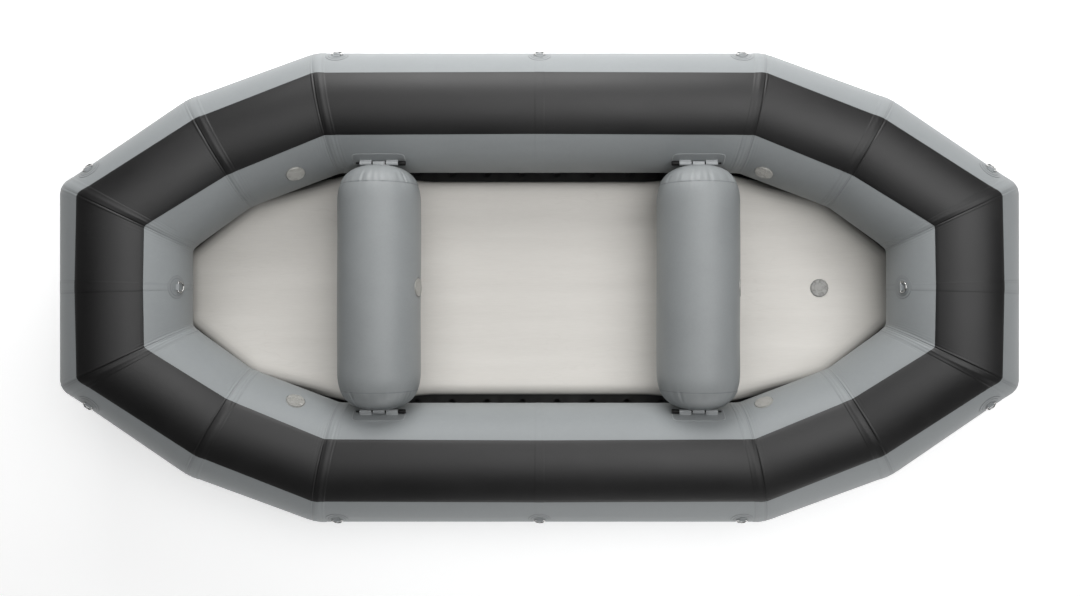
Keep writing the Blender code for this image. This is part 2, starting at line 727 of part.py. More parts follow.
def build_ring(name, place, height, lie):
    """A D-ring of round wire whose straight bar lies on its own X, turned to lie up or down."""
    outline = [(RING_HALF_WIDTH, 0)]
    outline += arc((0, RING_LEG), RING_HALF_WIDTH, 0, 180, RING_ARC_POINTS)
    outline += [(-RING_HALF_WIDTH, 0)]
    drawn = bpy.data.curves.new(name, "CURVE")
    drawn.dimensions = "3D"
    drawn.bevel_depth = RING_WIRE_RADIUS
    drawn.bevel_resolution = 1
    spline = drawn.splines.new("POLY")
    spline.points.add(len(outline) - 1)
    for point, (x, y) in zip(spline.points, outline):
        point.co = (x, y * lie, 0, 1)
    spline.use_cyclic_u = True
    made = bpy.data.objects.new(name, drawn)
    made.matrix_world = place @ Matrix.Translation((0, 0, height))
    drawn.materials.append(STEEL)
    PARTS.objects.link(made)


def lie_of(place, upwards):
    """Sign of own Y that points up or down."""
    up = place.to_3x3().col[1].z > 0
    return 1 if up == upwards else -1


def build_rings(chambers):
    """Twelve D-rings: three a side and four at the corners outside, and one inside each end."""
    beside = 90 - SIDE_RING_ABOVE_DEG
    for (end, side), quarter in QUARTERS.items():
        chamber = chambers[end, side]
        corner_run = 2
        corner_at = (quarter.corners[3] - quarter.corners[2]).length - CORNER_RING_BACK
        spots = {
            f"{end}_{side}": quarter.seat(0, SHOULDER_X - SIDE_RING_BACK, beside),
            f"{end}_corner_{side}": quarter.seat(corner_run, corner_at, 90 - CORNER_RING_ABOVE_DEG),
        }
        for name, place in spots.items():
            patch, loop, height = ring_patch(name, place, -RING_PATCH_SINK, RING_PATCH_THICKNESS)
            combine(chamber, [patch, loop], "UNION")
            build_ring("d_ring_" + name, place, height, lie_of(place, False))
    low, high = SEAT_GAP, SEAT_GAP + RING_PATCH_THICKNESS
    spots = {}
    for side in SIDES:
        spots["middle_" + side] = (QUARTERS["bow", side].seat(0, 0, beside), False)
    for end in ENDS:
        quarter = QUARTERS[end, "port"]
        last = (quarter.corners[4] - quarter.corners[3]).length
        spots["inside_" + end] = (quarter.seat(3, last, END_RING_ABOVE_DEG - 90), end == "bow")
    for name, (place, upwards) in spots.items():
        patch, loop, height = ring_patch(name, place, low, high)
        patch = adopt("ring_patch_" + name, patch, HULL_GREY)
        combine(patch, [loop], "UNION")
        build_ring("d_ring_" + name, place, height, lie_of(place, upwards))


def valve_sink(radius):
    """Depth of a valve's flat seat below the crown of a round tube of this radius, or of a flat."""
    reach = VALVE_FLANGE_RADIUS + SEAT_GAP
    sag = radius - math.sqrt(radius**2 - reach**2) if radius else 0
    return sag + VALVE_SEAT_DEPTH


def build_valve(name, carrier, place, radius):
    """A lift valve let into its carrier: body, sprung plunger and turning cap."""
    place = place @ Matrix.Translation((0, 0, -valve_sink(radius)))
    depth = -VALVE_DEPTH - SEAT_GAP - VALVE_SEAL_THICKNESS - VALVE_TRAVEL - VALVE_SEAT_DEPTH
    pocket_radius = VALVE_FLANGE_RADIUS + SEAT_GAP
    hole_radius = VALVE_BARREL_RADIUS + SEAT_GAP
    pocket = turned("pocket_" + name, [
        (0, CUT_OVERRUN),
        (pocket_radius, CUT_OVERRUN),
        (pocket_radius, 0),
        (hole_radius, 0),
        (hole_radius, depth),
        (0, depth),
    ], VALVE_FACETS, place, None, CUTTERS)
    combine(carrier, [pocket], "DIFFERENCE")

    flange_top = SEAT_GAP + VALVE_FLANGE_THICKNESS
    web_top = VALVE_WEB - VALVE_DEPTH
    body = turned("valve_body_" + name, [
        (VALVE_BORE_RADIUS, flange_top),
        (VALVE_FLANGE_RADIUS, flange_top),
        (VALVE_FLANGE_RADIUS, SEAT_GAP),
        (VALVE_BARREL_RADIUS, SEAT_GAP),
        (VALVE_BARREL_RADIUS, -VALVE_DEPTH),
        (VALVE_GUIDE_RADIUS, -VALVE_DEPTH),
        (VALVE_GUIDE_RADIUS, web_top),
        (VALVE_BORE_RADIUS, web_top),
    ], VALVE_FACETS, place, VALVE_DARK, closed=True)
    ports = []
    for count in range(VALVE_PORT_COUNT):
        angle = 2 * math.pi * count / VALVE_PORT_COUNT
        centre = (VALVE_PORT_CIRCLE * math.cos(angle), VALVE_PORT_CIRCLE * math.sin(angle))
        outline = disc_outline(VALVE_PORT_RADIUS, VALVE_PORT_FACETS, centre)
        at = place @ Matrix.Translation((0, 0, -VALVE_DEPTH))
        port_name = f"port_{name}_{count}"
        ports.append(flat_plate(port_name, [outline], VALVE_WEB + CUT_OVERRUN, at, None, CUTTERS))
    combine(body, ports, "DIFFERENCE")

    button_top = -VALVE_BUTTON_DROP
    seal_top = -VALVE_DEPTH - SEAT_GAP
    turned("valve_plunger_" + name, [
        (0, button_top),
        (VALVE_BUTTON_RADIUS, button_top),
        (VALVE_BUTTON_RADIUS, button_top - VALVE_BUTTON_THICKNESS),
        (VALVE_STEM_RADIUS, button_top - VALVE_BUTTON_THICKNESS),
        (VALVE_STEM_RADIUS, seal_top),
        (VALVE_SEAL_RADIUS, seal_top),
        (VALVE_SEAL_RADIUS, seal_top - VALVE_SEAL_THICKNESS),
        (0, seal_top - VALVE_SEAL_THICKNESS),
    ], VALVE_STEM_FACETS, place, VALVE_GREY)

    bottom = flange_top + SEAT_GAP
    top = bottom + CAP_THICKNESS
    skirt = (VALVE_BORE_RADIUS - SEAT_GAP) * math.cos(math.pi / VALVE_FACETS)
    cap = turned("valve_cap_" + name, [
        (0, top),
        (CAP_RADIUS - CAP_EDGE, top),
        (CAP_RADIUS, top - CAP_EDGE),
        (CAP_RADIUS, bottom),
        (skirt, bottom),
        (skirt, bottom - CAP_SKIRT),
        (skirt - CAP_SKIRT_WALL, bottom - CAP_SKIRT),
        (skirt - CAP_SKIRT_WALL, bottom),
        (0, bottom),
    ], VALVE_FACETS, place, VALVE_GREY)
    notches = []
    for count in range(CAP_NOTCH_COUNT):
        angle = 2 * math.pi * count / CAP_NOTCH_COUNT
        centre = (CAP_NOTCH_CIRCLE * math.cos(angle), CAP_NOTCH_CIRCLE * math.sin(angle))
        outline = disc_outline(CAP_NOTCH_RADIUS, CAP_NOTCH_FACETS, centre)
        at = place @ Matrix.Translation((0, 0, top))
        notch_name = f"notch_{name}_{count}"
        notches.append(flat_plate(notch_name, [outline], CAP_NOTCH_DEPTH, at, None, CUTTERS))
    combine(cap, notches, "DIFFERENCE")


def build_valves(chambers, thwarts, floor):
    """A valve in each chamber, each thwart and the floor."""
    for (end, side), quarter in QUARTERS.items():
        place = quarter.seat(1, CHAMBER_VALVE_ALONG[end], CHAMBER_VALVE_ABOVE_DEG[end] - 90)
        build_valve(f"{end}_{side}", chambers[end, side], place, TUBE_RADIUS)
    tilt = math.radians(THWART_VALVE_ABOVE_DEG)
    normal = Vector((math.cos(tilt), 0, math.sin(tilt)))
    for name, x in THWART_STATIONS.items():
        origin = Vector((x, 0, TUBE_AXIS_Z + THWART_RISE)) + normal * THWART_RADIUS
        place = axes_matrix(origin, Vector((0, 1, 0)), normal)
        build_valve("thwart_" + name, thwarts[name], place, THWART_RADIUS)
    place = Matrix.Translation((CHEEK_X - FLOOR_VALVE_BEHIND_CHEEK, 0, FLOOR_TOP_Z))
    build_valve("floor", floor, place, None)


def main():
    """Build the raft."""
    chambers = build_chambers()
    build_strips()
    floor = build_floor()
    build_flaps()
    thwarts = build_thwarts()
    build_hinges()
    build_rings(chambers)
    build_valves(chambers, thwarts, floor)


main()
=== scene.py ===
"""Whitewater raft, dressed for a studio picture taken from straight above.

Metres, +X to the bow, +Y to port, +Z up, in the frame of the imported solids. Every inflated skin, strap,
ring and cap is a surface worked out as whole arrays, and rides on the body of the solid that it stands for.
"""

import logging
import math
from dataclasses import dataclass, field, replace
from enum import Enum

import bmesh
import bpy
import numpy as np
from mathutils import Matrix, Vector
from numpy.typing import NDArray

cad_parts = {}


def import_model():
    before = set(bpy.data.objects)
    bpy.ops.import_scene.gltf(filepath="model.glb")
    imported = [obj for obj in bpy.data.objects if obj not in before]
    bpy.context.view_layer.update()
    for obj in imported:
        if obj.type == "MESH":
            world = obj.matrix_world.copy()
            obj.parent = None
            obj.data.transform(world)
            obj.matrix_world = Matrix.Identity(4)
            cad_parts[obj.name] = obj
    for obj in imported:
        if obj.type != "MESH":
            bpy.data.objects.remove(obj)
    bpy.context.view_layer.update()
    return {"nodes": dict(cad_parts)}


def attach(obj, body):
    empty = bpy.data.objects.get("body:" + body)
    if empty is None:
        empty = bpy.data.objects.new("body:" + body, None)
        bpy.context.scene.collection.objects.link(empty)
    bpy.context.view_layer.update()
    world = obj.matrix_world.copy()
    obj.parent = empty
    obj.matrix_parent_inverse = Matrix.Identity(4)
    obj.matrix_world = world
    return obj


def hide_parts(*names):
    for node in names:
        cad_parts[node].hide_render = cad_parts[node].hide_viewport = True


Array = NDArray[np.float64]
Piece, Tree = bpy.types.Object, bpy.types.NodeTree
Node, Socket, Outputs = bpy.types.Node, bpy.types.NodeSocket, bpy.types.NodeOutputs
LOG = logging.getLogger("raft")
SEAT_GAP = 0.0003
SHARP_DEG = 40
UP = np.array([0.0, 0.0, 1.0])
FORWARD = np.array([1.0, 0.0, 0.0])


class End(Enum):
    """The two ends of the hull, with the sign of their X."""

    BOW = 1
    STERN = -1


class Side(Enum):
    """The two sides of the hull, with the sign of their Y."""

    PORT = 1
    STARBOARD = -1


class Grain(Enum):
    """What a finish's fine relief follows."""

    WOVEN = "woven"
    MOULDED = "moulded"
    BRUSHED = "brushed"


def label(*words: Enum) -> str:
    """Lower-case names of enum members, joined as the solids' names join them."""
    return "_".join(word.name.lower() for word in words)


# Shapes of one variable


def step_at(values: Array, edge: float, width: float) -> Array:
    """Soft step from 0 to 1: half of one plus the hyperbolic tangent of the distance over a width."""
    return 0.5 * (1 + np.tanh((values - edge) / width))


def band(values: Array, low: float, high: float, width: float) -> Array:
    """Soft band: 1 between two edges and 0 outside them."""
    return step_at(values, low, width) - step_at(values, high, width)


def bell(values: Array, centre: float, width: float) -> Array:
    """Bell curve: the exponential of minus the squared distance over a width."""
    return np.exp(-(((values - centre) / width) ** 2))


def unit(vectors: Array) -> Array:
    """Vectors of length one."""
    return vectors / np.maximum(np.linalg.norm(vectors, axis=-1, keepdims=True), 1e-12)


def place_of(origin: Array, x_axis: Array, z_axis: Array) -> Array:
    """Four by four place with its own X and Z directions.

    Args:
        origin: the place's own zero.
        x_axis: direction of its own X, of length one.
        z_axis: direction of its own Z, square to the first.

    Returns:
        The matrix that carries own coordinates to the hull's.
    """
    made = np.eye(4)
    made[:3, 0] = x_axis
    made[:3, 1] = np.cross(z_axis, x_axis)
    made[:3, 2] = z_axis
    made[:3, 3] = origin
    return made


def moved(place: Array, points: Array) -> Array:
    """Points carried by a place."""
    return points @ place[:3, :3].T + place[:3, 3]


def round_angles(count: int) -> Array:
    """Even angles over a full turn."""
    return np.linspace(0, 2 * np.pi, count, endpoint=False)


def hoop_arc(angles: Array, radius: float) -> Array:
    """Distance round a hoop at its angles, and at the full turn."""
    return np.append(angles, 2 * np.pi) * radius


def run_of(line: Array) -> Array:
    """Distance along a line of points from its first."""
    return np.append(0, np.cumsum(np.linalg.norm(np.diff(line, axis=0), axis=1)))


def evenly(line: Array, count: int) -> Array:
    """Points at even steps along a closed line in the plane.

    Args:
        line: its points, the first one again at the end.
        count: number of steps.

    Returns:
        Points of shape (count, 2), without the first one again.
    """
    run = run_of(line)
    even = np.linspace(0, run[-1], count, endpoint=False)
    return np.stack([np.interp(even, run, line[:, axis]) for axis in (0, 1)], axis=-1)


def plane_normals(line: Array) -> Array:
    """Unit normals of a closed line in the plane, square to its central differences."""
    way = unit(np.roll(line, -1, axis=0) - np.roll(line, 1, axis=0))
    return np.stack([way[:, 1], -way[:, 0]], axis=-1)


def chart_of(along: Array, across: Array) -> Array:
    """Surface coordinates of a grid, from the distances along its rows and across its columns."""
    return np.stack(np.meshgrid(along, across, indexing="ij"), axis=-1)


def closed(chart: Array) -> Array:
    """A chart with its first column again at the end, for a grid that wraps."""
    return np.concatenate([chart, chart[:, :1]], axis=1)


def rings_of(radius: Array, angles: Array, height: Array) -> Array:
    """Rings round own Z: the radius times cosine and sine of the angles, at the given heights."""
    x, y = radius * np.cos(angles), radius * np.sin(angles)
    return np.stack([x, y, np.broadcast_to(height, x.shape)], axis=-1)


def end_to_end(aft: Array, fore: Array) -> Array:
    """Rows of two quarters as one run, the aft ones turned round, with their shared row once."""
    return np.concatenate([aft[:0:-1], fore])


def grid_normals(points: Array, wrap: bool) -> Array:
    """Unit normals of a grid, from the cross product of its two central differences.

    Args:
        points: rows by columns by 3.
        wrap: whether the last column meets the first.

    Returns:
        One normal for each point.
    """
    down = np.gradient(points, axis=0)
    if wrap:
        over = np.roll(points, -1, axis=1) - np.roll(points, 1, axis=1)
    else:
        over = np.gradient(points, axis=1)
    return unit(np.cross(over, down))


def superellipse(half_x: float, half_y: float, power: float, count: int) -> Array:
    """Rounded outline: cosine and sine raised to two over the power, scaled by the half sizes.

    Args:
        half_x: half length.
        half_y: half width.
        power: 2 for an ellipse, and higher for squarer corners.
        count: number of points.

    Returns:
        Points of shape (count, 2).
    """
    angle = round_angles(count)
    cosine, sine = np.cos(angle), np.sin(angle)
    x = half_x * np.sign(cosine) * np.abs(cosine) ** (2 / power)
    y = half_y * np.sign(sine) * np.abs(sine) ** (2 / power)
    return np.stack([x, y], axis=-1)


class Skin:
    """Grids, walls and fans of points gathered into one closed mesh."""

    def __init__(self) -> None:
        """Start with no points."""
        self.points: list[Array] = []
        self.faces: list[Array] = []
        self.charts: list[Array] = []
        self.marks: list[Array] = []
        self.count = 0

    def add_points(self, points: Array, marks: Array | None = None) -> Array:
        """Take in points.

        Args:
            points: array whose last axis is x, y, z.
            marks: value of each point's painted shading mark, or none for zero.

        Returns:
            The index of each point, in the array's shape.
        """
        shape = points.shape[:-1]
        total = int(np.prod(shape))
        index = self.count + np.arange(total).reshape(shape)
        self.points.append(points.reshape(-1, 3))
        self.marks.append(np.zeros(total) if marks is None else np.broadcast_to(marks, shape).ravel())
        self.count += total
        return index

    def add_faces(self, faces: Array, chart: Array | None = None) -> None:
        """Take in faces of one corner count, with the surface coordinates of their corners."""
        self.faces.append(faces)
        self.charts.append(np.zeros((*faces.shape, 2)) if chart is None else chart)

    def grid(
        self, points: Array, chart: Array | None = None, wrap: bool = False, marks: Array | None = None
    ) -> Array:
        """Add a grid of four-cornered faces.

        Args:
            points: rows by columns by 3.
            chart: surface coordinates in metres, rows by columns by 2, with one more column if it wraps.
            wrap: whether the last column meets the first.
            marks: painted shading mark of each point.

        Returns:
            The index of each point, rows by columns.
        """
        index = self.add_points(points, marks)
        self.add_faces(*self.patch(index, chart, wrap))
        return index

    @staticmethod
    def patch(index: Array, chart: Array | None, wrap: bool) -> tuple[Array, Array | None]:
        """Faces between neighbouring rows and columns of indices.

        Args:
            index: index of each point, rows by columns.
            chart: surface coordinates, as the grid takes them.
            wrap: whether the last column meets the first.

        Returns:
            The faces, and the surface coordinates of their corners.
        """

        def corners(cells: Array) -> Array:
            """The four corners of every cell."""
            return np.stack([cells[:-1, :-1], cells[:-1, 1:], cells[1:, 1:], cells[1:, :-1]], axis=2)

        ring = np.concatenate([index, index[:, :1]], axis=1) if wrap else index
        faces = corners(ring).reshape(-1, 4)
        return faces, None if chart is None else corners(chart).reshape(-1, 4, 2)

    def wall(self, one: Array, two: Array, wrap: bool = False) -> None:
        """Add faces between two lines of indices."""
        self.add_faces(*self.patch(np.stack([one, two]), None, wrap))

    def fan(self, ring: Array, centre: Array) -> None:
        """Close a ring of indices with triangles to a new point."""
        tip = np.full_like(ring, self.add_points(centre.reshape(1, 3))[0])
        self.add_faces(np.stack([ring, np.roll(ring, -1), tip], axis=1))

    def shell(self, over: Array, under: Array, chart: Array, marks: Array | None = None) -> "Skin":
        """Add a closed plate between two open grids of equal shape.

        Args:
            over: its upper grid.
            under: its lower grid.
            chart: surface coordinates of both.
            marks: painted shading marks of the upper one.

        Returns:
            This skin.
        """
        top = self.grid(over, chart, marks=marks)
        low = self.grid(under, chart)
        for edge in (np.s_[0], np.s_[-1], np.s_[:, 0], np.s_[:, -1]):
            self.wall(top[edge], low[edge])
        return self

    def solid(self, rings: Array, chart: Array | None = None, marks: Array | None = None) -> "Skin":
        """Add a closed body of rings, each end closed by a fan to the middle of its ring.

        Args:
            rings: one ring of points after another.
            chart: surface coordinates, with one more column.
            marks: painted shading marks of the points.

        Returns:
            This skin.
        """
        index = self.grid(rings, chart, wrap=True, marks=marks)
        for end in (0, -1):
            self.fan(index[end], rings[end].mean(axis=0))
        return self

    def turned(self, profile: Array, place: Array, count: int = 64) -> "Skin":
        """Add a turned body: each profile point of radius and height goes round own Z.

        Args:
            profile: points of radius and height, from one end of the axis to the other.
            place: where own Z lies.
            count: points round.

        Returns:
            This skin.
        """
        angles = round_angles(count)
        rings = rings_of(profile[:, :1], angles, profile[:, 1:])
        chart = chart_of(run_of(profile), hoop_arc(angles, np.max(profile[:, 0])))
        return self.solid(moved(place, rings), chart)

    def build(self, name: str) -> Piece:
        """Make the mesh object, at the origin, with outward faces and sharp edges where it turns enough.

        Args:
            name: the piece's name.

        Returns:
            The linked object.
        """
        mesh = bpy.data.meshes.new(name)
        points = np.concatenate(self.points)
        loops = np.concatenate([faces.ravel() for faces in self.faces])
        sizes = np.concatenate([np.full(len(faces), faces.shape[1]) for faces in self.faces])
        mesh.vertices.add(len(points))
        mesh.vertices.foreach_set("co", points.ravel())
        mesh.loops.add(len(loops))
        mesh.loops.foreach_set("vertex_index", loops)
        mesh.polygons.add(len(sizes))
        mesh.polygons.foreach_set("loop_start", np.cumsum(sizes) - sizes)
        mesh.update(calc_edges=True)
        chart = mesh.uv_layers.new(name="surface")
        chart.data.foreach_set("uv", np.concatenate([c.ravel() for c in self.charts]))
        # The mark is painted shading: painted shade and painted highlights that the finishes mix into their
        # colour.
        mark = mesh.attributes.new("crease", "FLOAT", "POINT")
        mark.data.foreach_set("value", np.concatenate(self.marks))
        work = bmesh.new()
        work.from_mesh(mesh)
        bmesh.ops.remove_doubles(work, verts=work.verts, dist=SEAT_GAP / 100)
        bmesh.ops.recalc_face_normals(work, faces=work.faces)
        work.to_mesh(mesh)
        work.free()
        mesh.shade_smooth()
        mesh.set_sharp_from_angle(angle=math.radians(SHARP_DEG))
        made = bpy.data.objects.new(name, mesh)
        bpy.context.scene.collection.objects.link(made)
        return made


def cut(piece: Piece, cutters: list[Piece]) -> Piece:
    """Cut solids from a piece and keep the result as plain mesh.

    Args:
        piece: the object that is cut.
        cutters: solids, which are removed afterwards.

    Returns:
        The same object with its new mesh.
    """
    for cutter in cutters:
        step = piece.modifiers.new(cutter.name, "BOOLEAN")
        step.operation = "DIFFERENCE"
        step.solver = "EXACT"
        step.object = cutter
    graph = bpy.context.evaluated_depsgraph_get()
    mesh = bpy.data.meshes.new_from_object(piece.evaluated_get(graph))
    piece.modifiers.clear()
    before = piece.data
    piece.data = mesh
    bpy.data.meshes.remove(before)
    mesh.name = piece.name
    mesh.set_sharp_from_angle(angle=math.radians(SHARP_DEG))
    for cutter in cutters:
        bpy.data.objects.remove(cutter, do_unlink=True)
    return piece


# Hull


@dataclass(frozen=True)
class HullSizes:
    """Real sizes of the hull's tubes, in metres, as the solids have them.

    The cheek and the corner are where the centreline bends, over its level at the sides. The lean and
    the tuck turn the section at each of the five corners, and the tuck's bell has a middle and a width
    in degrees. The kinks are the half widths over which a seam's bend is rounded.
    """

    tube_radius: float = 0.254
    axis_z: float = 0.250
    side_y: float = 0.756
    shoulder_x: float = 0.916
    cheek: tuple[float, float, float] = (1.375, 0.574, 0.040)
    corner: tuple[float, float, float] = (1.728, 0.291, 0.130)
    lean_deg: tuple[float, ...] = (0, -1, -5, -2, -5)
    tuck_deg: tuple[float, ...] = (0, 0, 0, 0, -1.5)
    tuck_bell_deg: tuple[float, float] = (-30, 25)
    kink_sharp: float = 0.009
    kink_round: float = 0.034
    kink_inboard: float = 0.3


@dataclass(frozen=True)
class Quarter:
    """Tube centreline of one quarter of the hull, from the middle of a side to the middle of an end."""

    end: End
    side: Side
    sizes: HullSizes = HullSizes()

    @property
    def corners(self) -> Array:
        """The five corners of the centreline.

        Returns:
            Points of shape (5, 3).
        """
        s = self.sizes
        middle, shoulder = (0, s.side_y, 0), (s.shoulder_x, s.side_y, 0)
        rows = [middle, shoulder, s.cheek, s.corner, (s.corner[0], 0, s.corner[2])]
        return np.array(rows) * (self.end.value, self.side.value, 1) + (0, 0, s.axis_z)

    @property
    def along(self) -> Array:
        """Directions of the four runs."""
        return unit(np.diff(self.corners, axis=0))

    @property
    def outboard(self) -> Array:
        """Level directions square to the runs, away from the cockpit."""
        return unit(np.cross(UP, self.along)) * self.end.value * self.side.value

    @property
    def crown(self) -> Array:
        """Directions of the tube's top line on the runs."""
        return np.cross(self.along, self.outboard) * self.end.value * self.side.value

    @property
    def lengths(self) -> Array:
        """Lengths of the four runs."""
        return np.linalg.norm(np.diff(self.corners, axis=0), axis=1)

    def slid(self, run: int, corner: int, offset: Array) -> Array:
        """Points of a round section on the seam plane at a corner.

        A point slides along its run until it meets the plane that halves the angle between the two runs
        at the corner.

        Args:
            run: number of the run that the points belong to.
            corner: number of the corner.
            offset: the points of the section, from the centreline.

        Returns:
            The points on the seam plane.
        """
        normal = self.along[max(corner - 1, 0)] + self.along[min(corner, 3)]
        slide = -(offset @ normal) / (self.along[run] @ normal)
        return self.corners[corner] + offset + self.along[run] * slide[:, None]

    def ring(self, corner: int, degrees: Array) -> Array:
        """Section of the tube on the seam plane at a corner.

        The section leans round its own axis, and a bell curve about the strip's inner edge draws that
        edge straight along the ends.

        Args:
            corner: number of the corner.
            degrees: angles from the crown, outboard positive.

        Returns:
            One point for each angle.
        """
        run = max(corner - 1, 0)
        tuck = self.sizes.tuck_deg[corner] * bell(degrees, *self.sizes.tuck_bell_deg)
        angle = np.radians(degrees + self.sizes.lean_deg[corner] + tuck)[:, None]
        offset = self.crown[run] * np.cos(angle) + self.outboard[run] * np.sin(angle)
        return self.slid(run, corner, offset * self.sizes.tube_radius)

    def seat(self, run: int, distance: float, degrees: float) -> Array:
        """Place on the tube's surface: own Z points out of the tube and own X runs along it.

        Args:
            run: number of the run.
            distance: how far along the run.
            degrees: angle from the crown, outboard positive.

        Returns:
            The place.
        """
        angle = math.radians(degrees)
        normal = self.crown[run] * math.cos(angle) + self.outboard[run] * math.sin(angle)
        origin = self.corners[run] + self.along[run] * distance
        return place_of(origin + normal * self.sizes.tube_radius, self.along[run], normal)


ROW_STEP = 0.05
ROWS_BY_A_SEAM = np.append(np.arange(0, 0.066, 0.002), [0.070, 0.078, 0.088, 0.104, 0.130])


@dataclass(frozen=True)
class HullRows:
    """A hull surface as rows of points, with what the seams' relief needs to know of each row.

    A row has its points, its signed distance from the nearest seam, that seam's number, and its
    distance from the middle of the side.
    """

    points: Array
    seam: Array
    corner: Array
    travel: Array

    @staticmethod
    def of(quarter: Quarter, degrees: Array) -> "HullRows":
        """Rows over a whole quarter.

        Between two seam planes a row is the straight blend of their sections. Near a mitred seam, within
        a half width w, a point at the distance d from it moves by (w - d) squared over 4w times the
        difference of the two runs' directions, which rounds the kink. The half width grows from the
        crown to the flanks with the squared sine of the angle, because the wear strip stiffens the
        crown, and less so inboard, where the skin folds sharply.

        Args:
            quarter: the quarter of the hull.
            degrees: angles from the crown of the columns.

        Returns:
            The rows, from the middle of the side to the middle of the end.
        """
        rings = np.stack([quarter.ring(corner, degrees) for corner in range(5)])
        spans = np.diff(rings, axis=0)
        lengths = np.linalg.norm(spans, axis=2, keepdims=True)
        ways = spans / lengths
        turns = np.diff(ways, axis=0)
        outboard = np.where(degrees > 0, 1.0, quarter.sizes.kink_inboard)
        swell = (np.sin(np.radians(degrees)) ** 2 * outboard)[:, None]
        half = quarter.sizes.kink_sharp + quarter.sizes.kink_round * swell
        points, seam, corner, travel = [], [], [], []
        start = 0.0
        for run, length in enumerate(quarter.lengths):
            near = ROWS_BY_A_SEAM[ROWS_BY_A_SEAM < length / 2]
            rest = length - 2 * near[-1]
            middle = near[-1] + rest * np.linspace(0, 1, int(rest / ROW_STEP) + 2)[1:-1]
            distance = np.concatenate([near, middle, length - near[::-1]])
            distance = distance if run == 3 else distance[:-1]
            share = (distance / length)[:, None, None]
            rows = rings[run] + spans[run] * share
            for gap, turn in ((share * lengths[run], run - 1), ((1 - share) * lengths[run], run)):
                if 0 <= turn <= 2:
                    rows = rows + np.clip(half - gap, 0, None) ** 2 / (4 * half) * turns[turn]
            before_middle = distance < length / 2
            points.append(rows)
            seam.append(np.where(before_middle, -distance, length - distance))
            corner.append(np.where(before_middle, run, run + 1))
            travel.append(start + distance)
            start += length
        return HullRows(*(np.concatenate(part) for part in (points, seam, corner, travel)))

    @staticmethod
    def both(side: Side, degrees: Array) -> "HullRows":
        """Rows over a whole side, from the middle of the stern to the middle of the bow.

        Args:
            side: the side of the hull.
            degrees: angles from the crown of the columns.

        Returns:
            The rows, whose travel is negative astern.
        """
        fore = HullRows.of(Quarter(End.BOW, side), degrees)
        aft = HullRows.of(Quarter(End.STERN, side), degrees)
        parts = (
            (aft.points, fore.points), (aft.seam, fore.seam), (aft.corner, fore.corner),
            (-aft.travel, fore.travel),
        )
        return HullRows(*(end_to_end(*pair) for pair in parts))


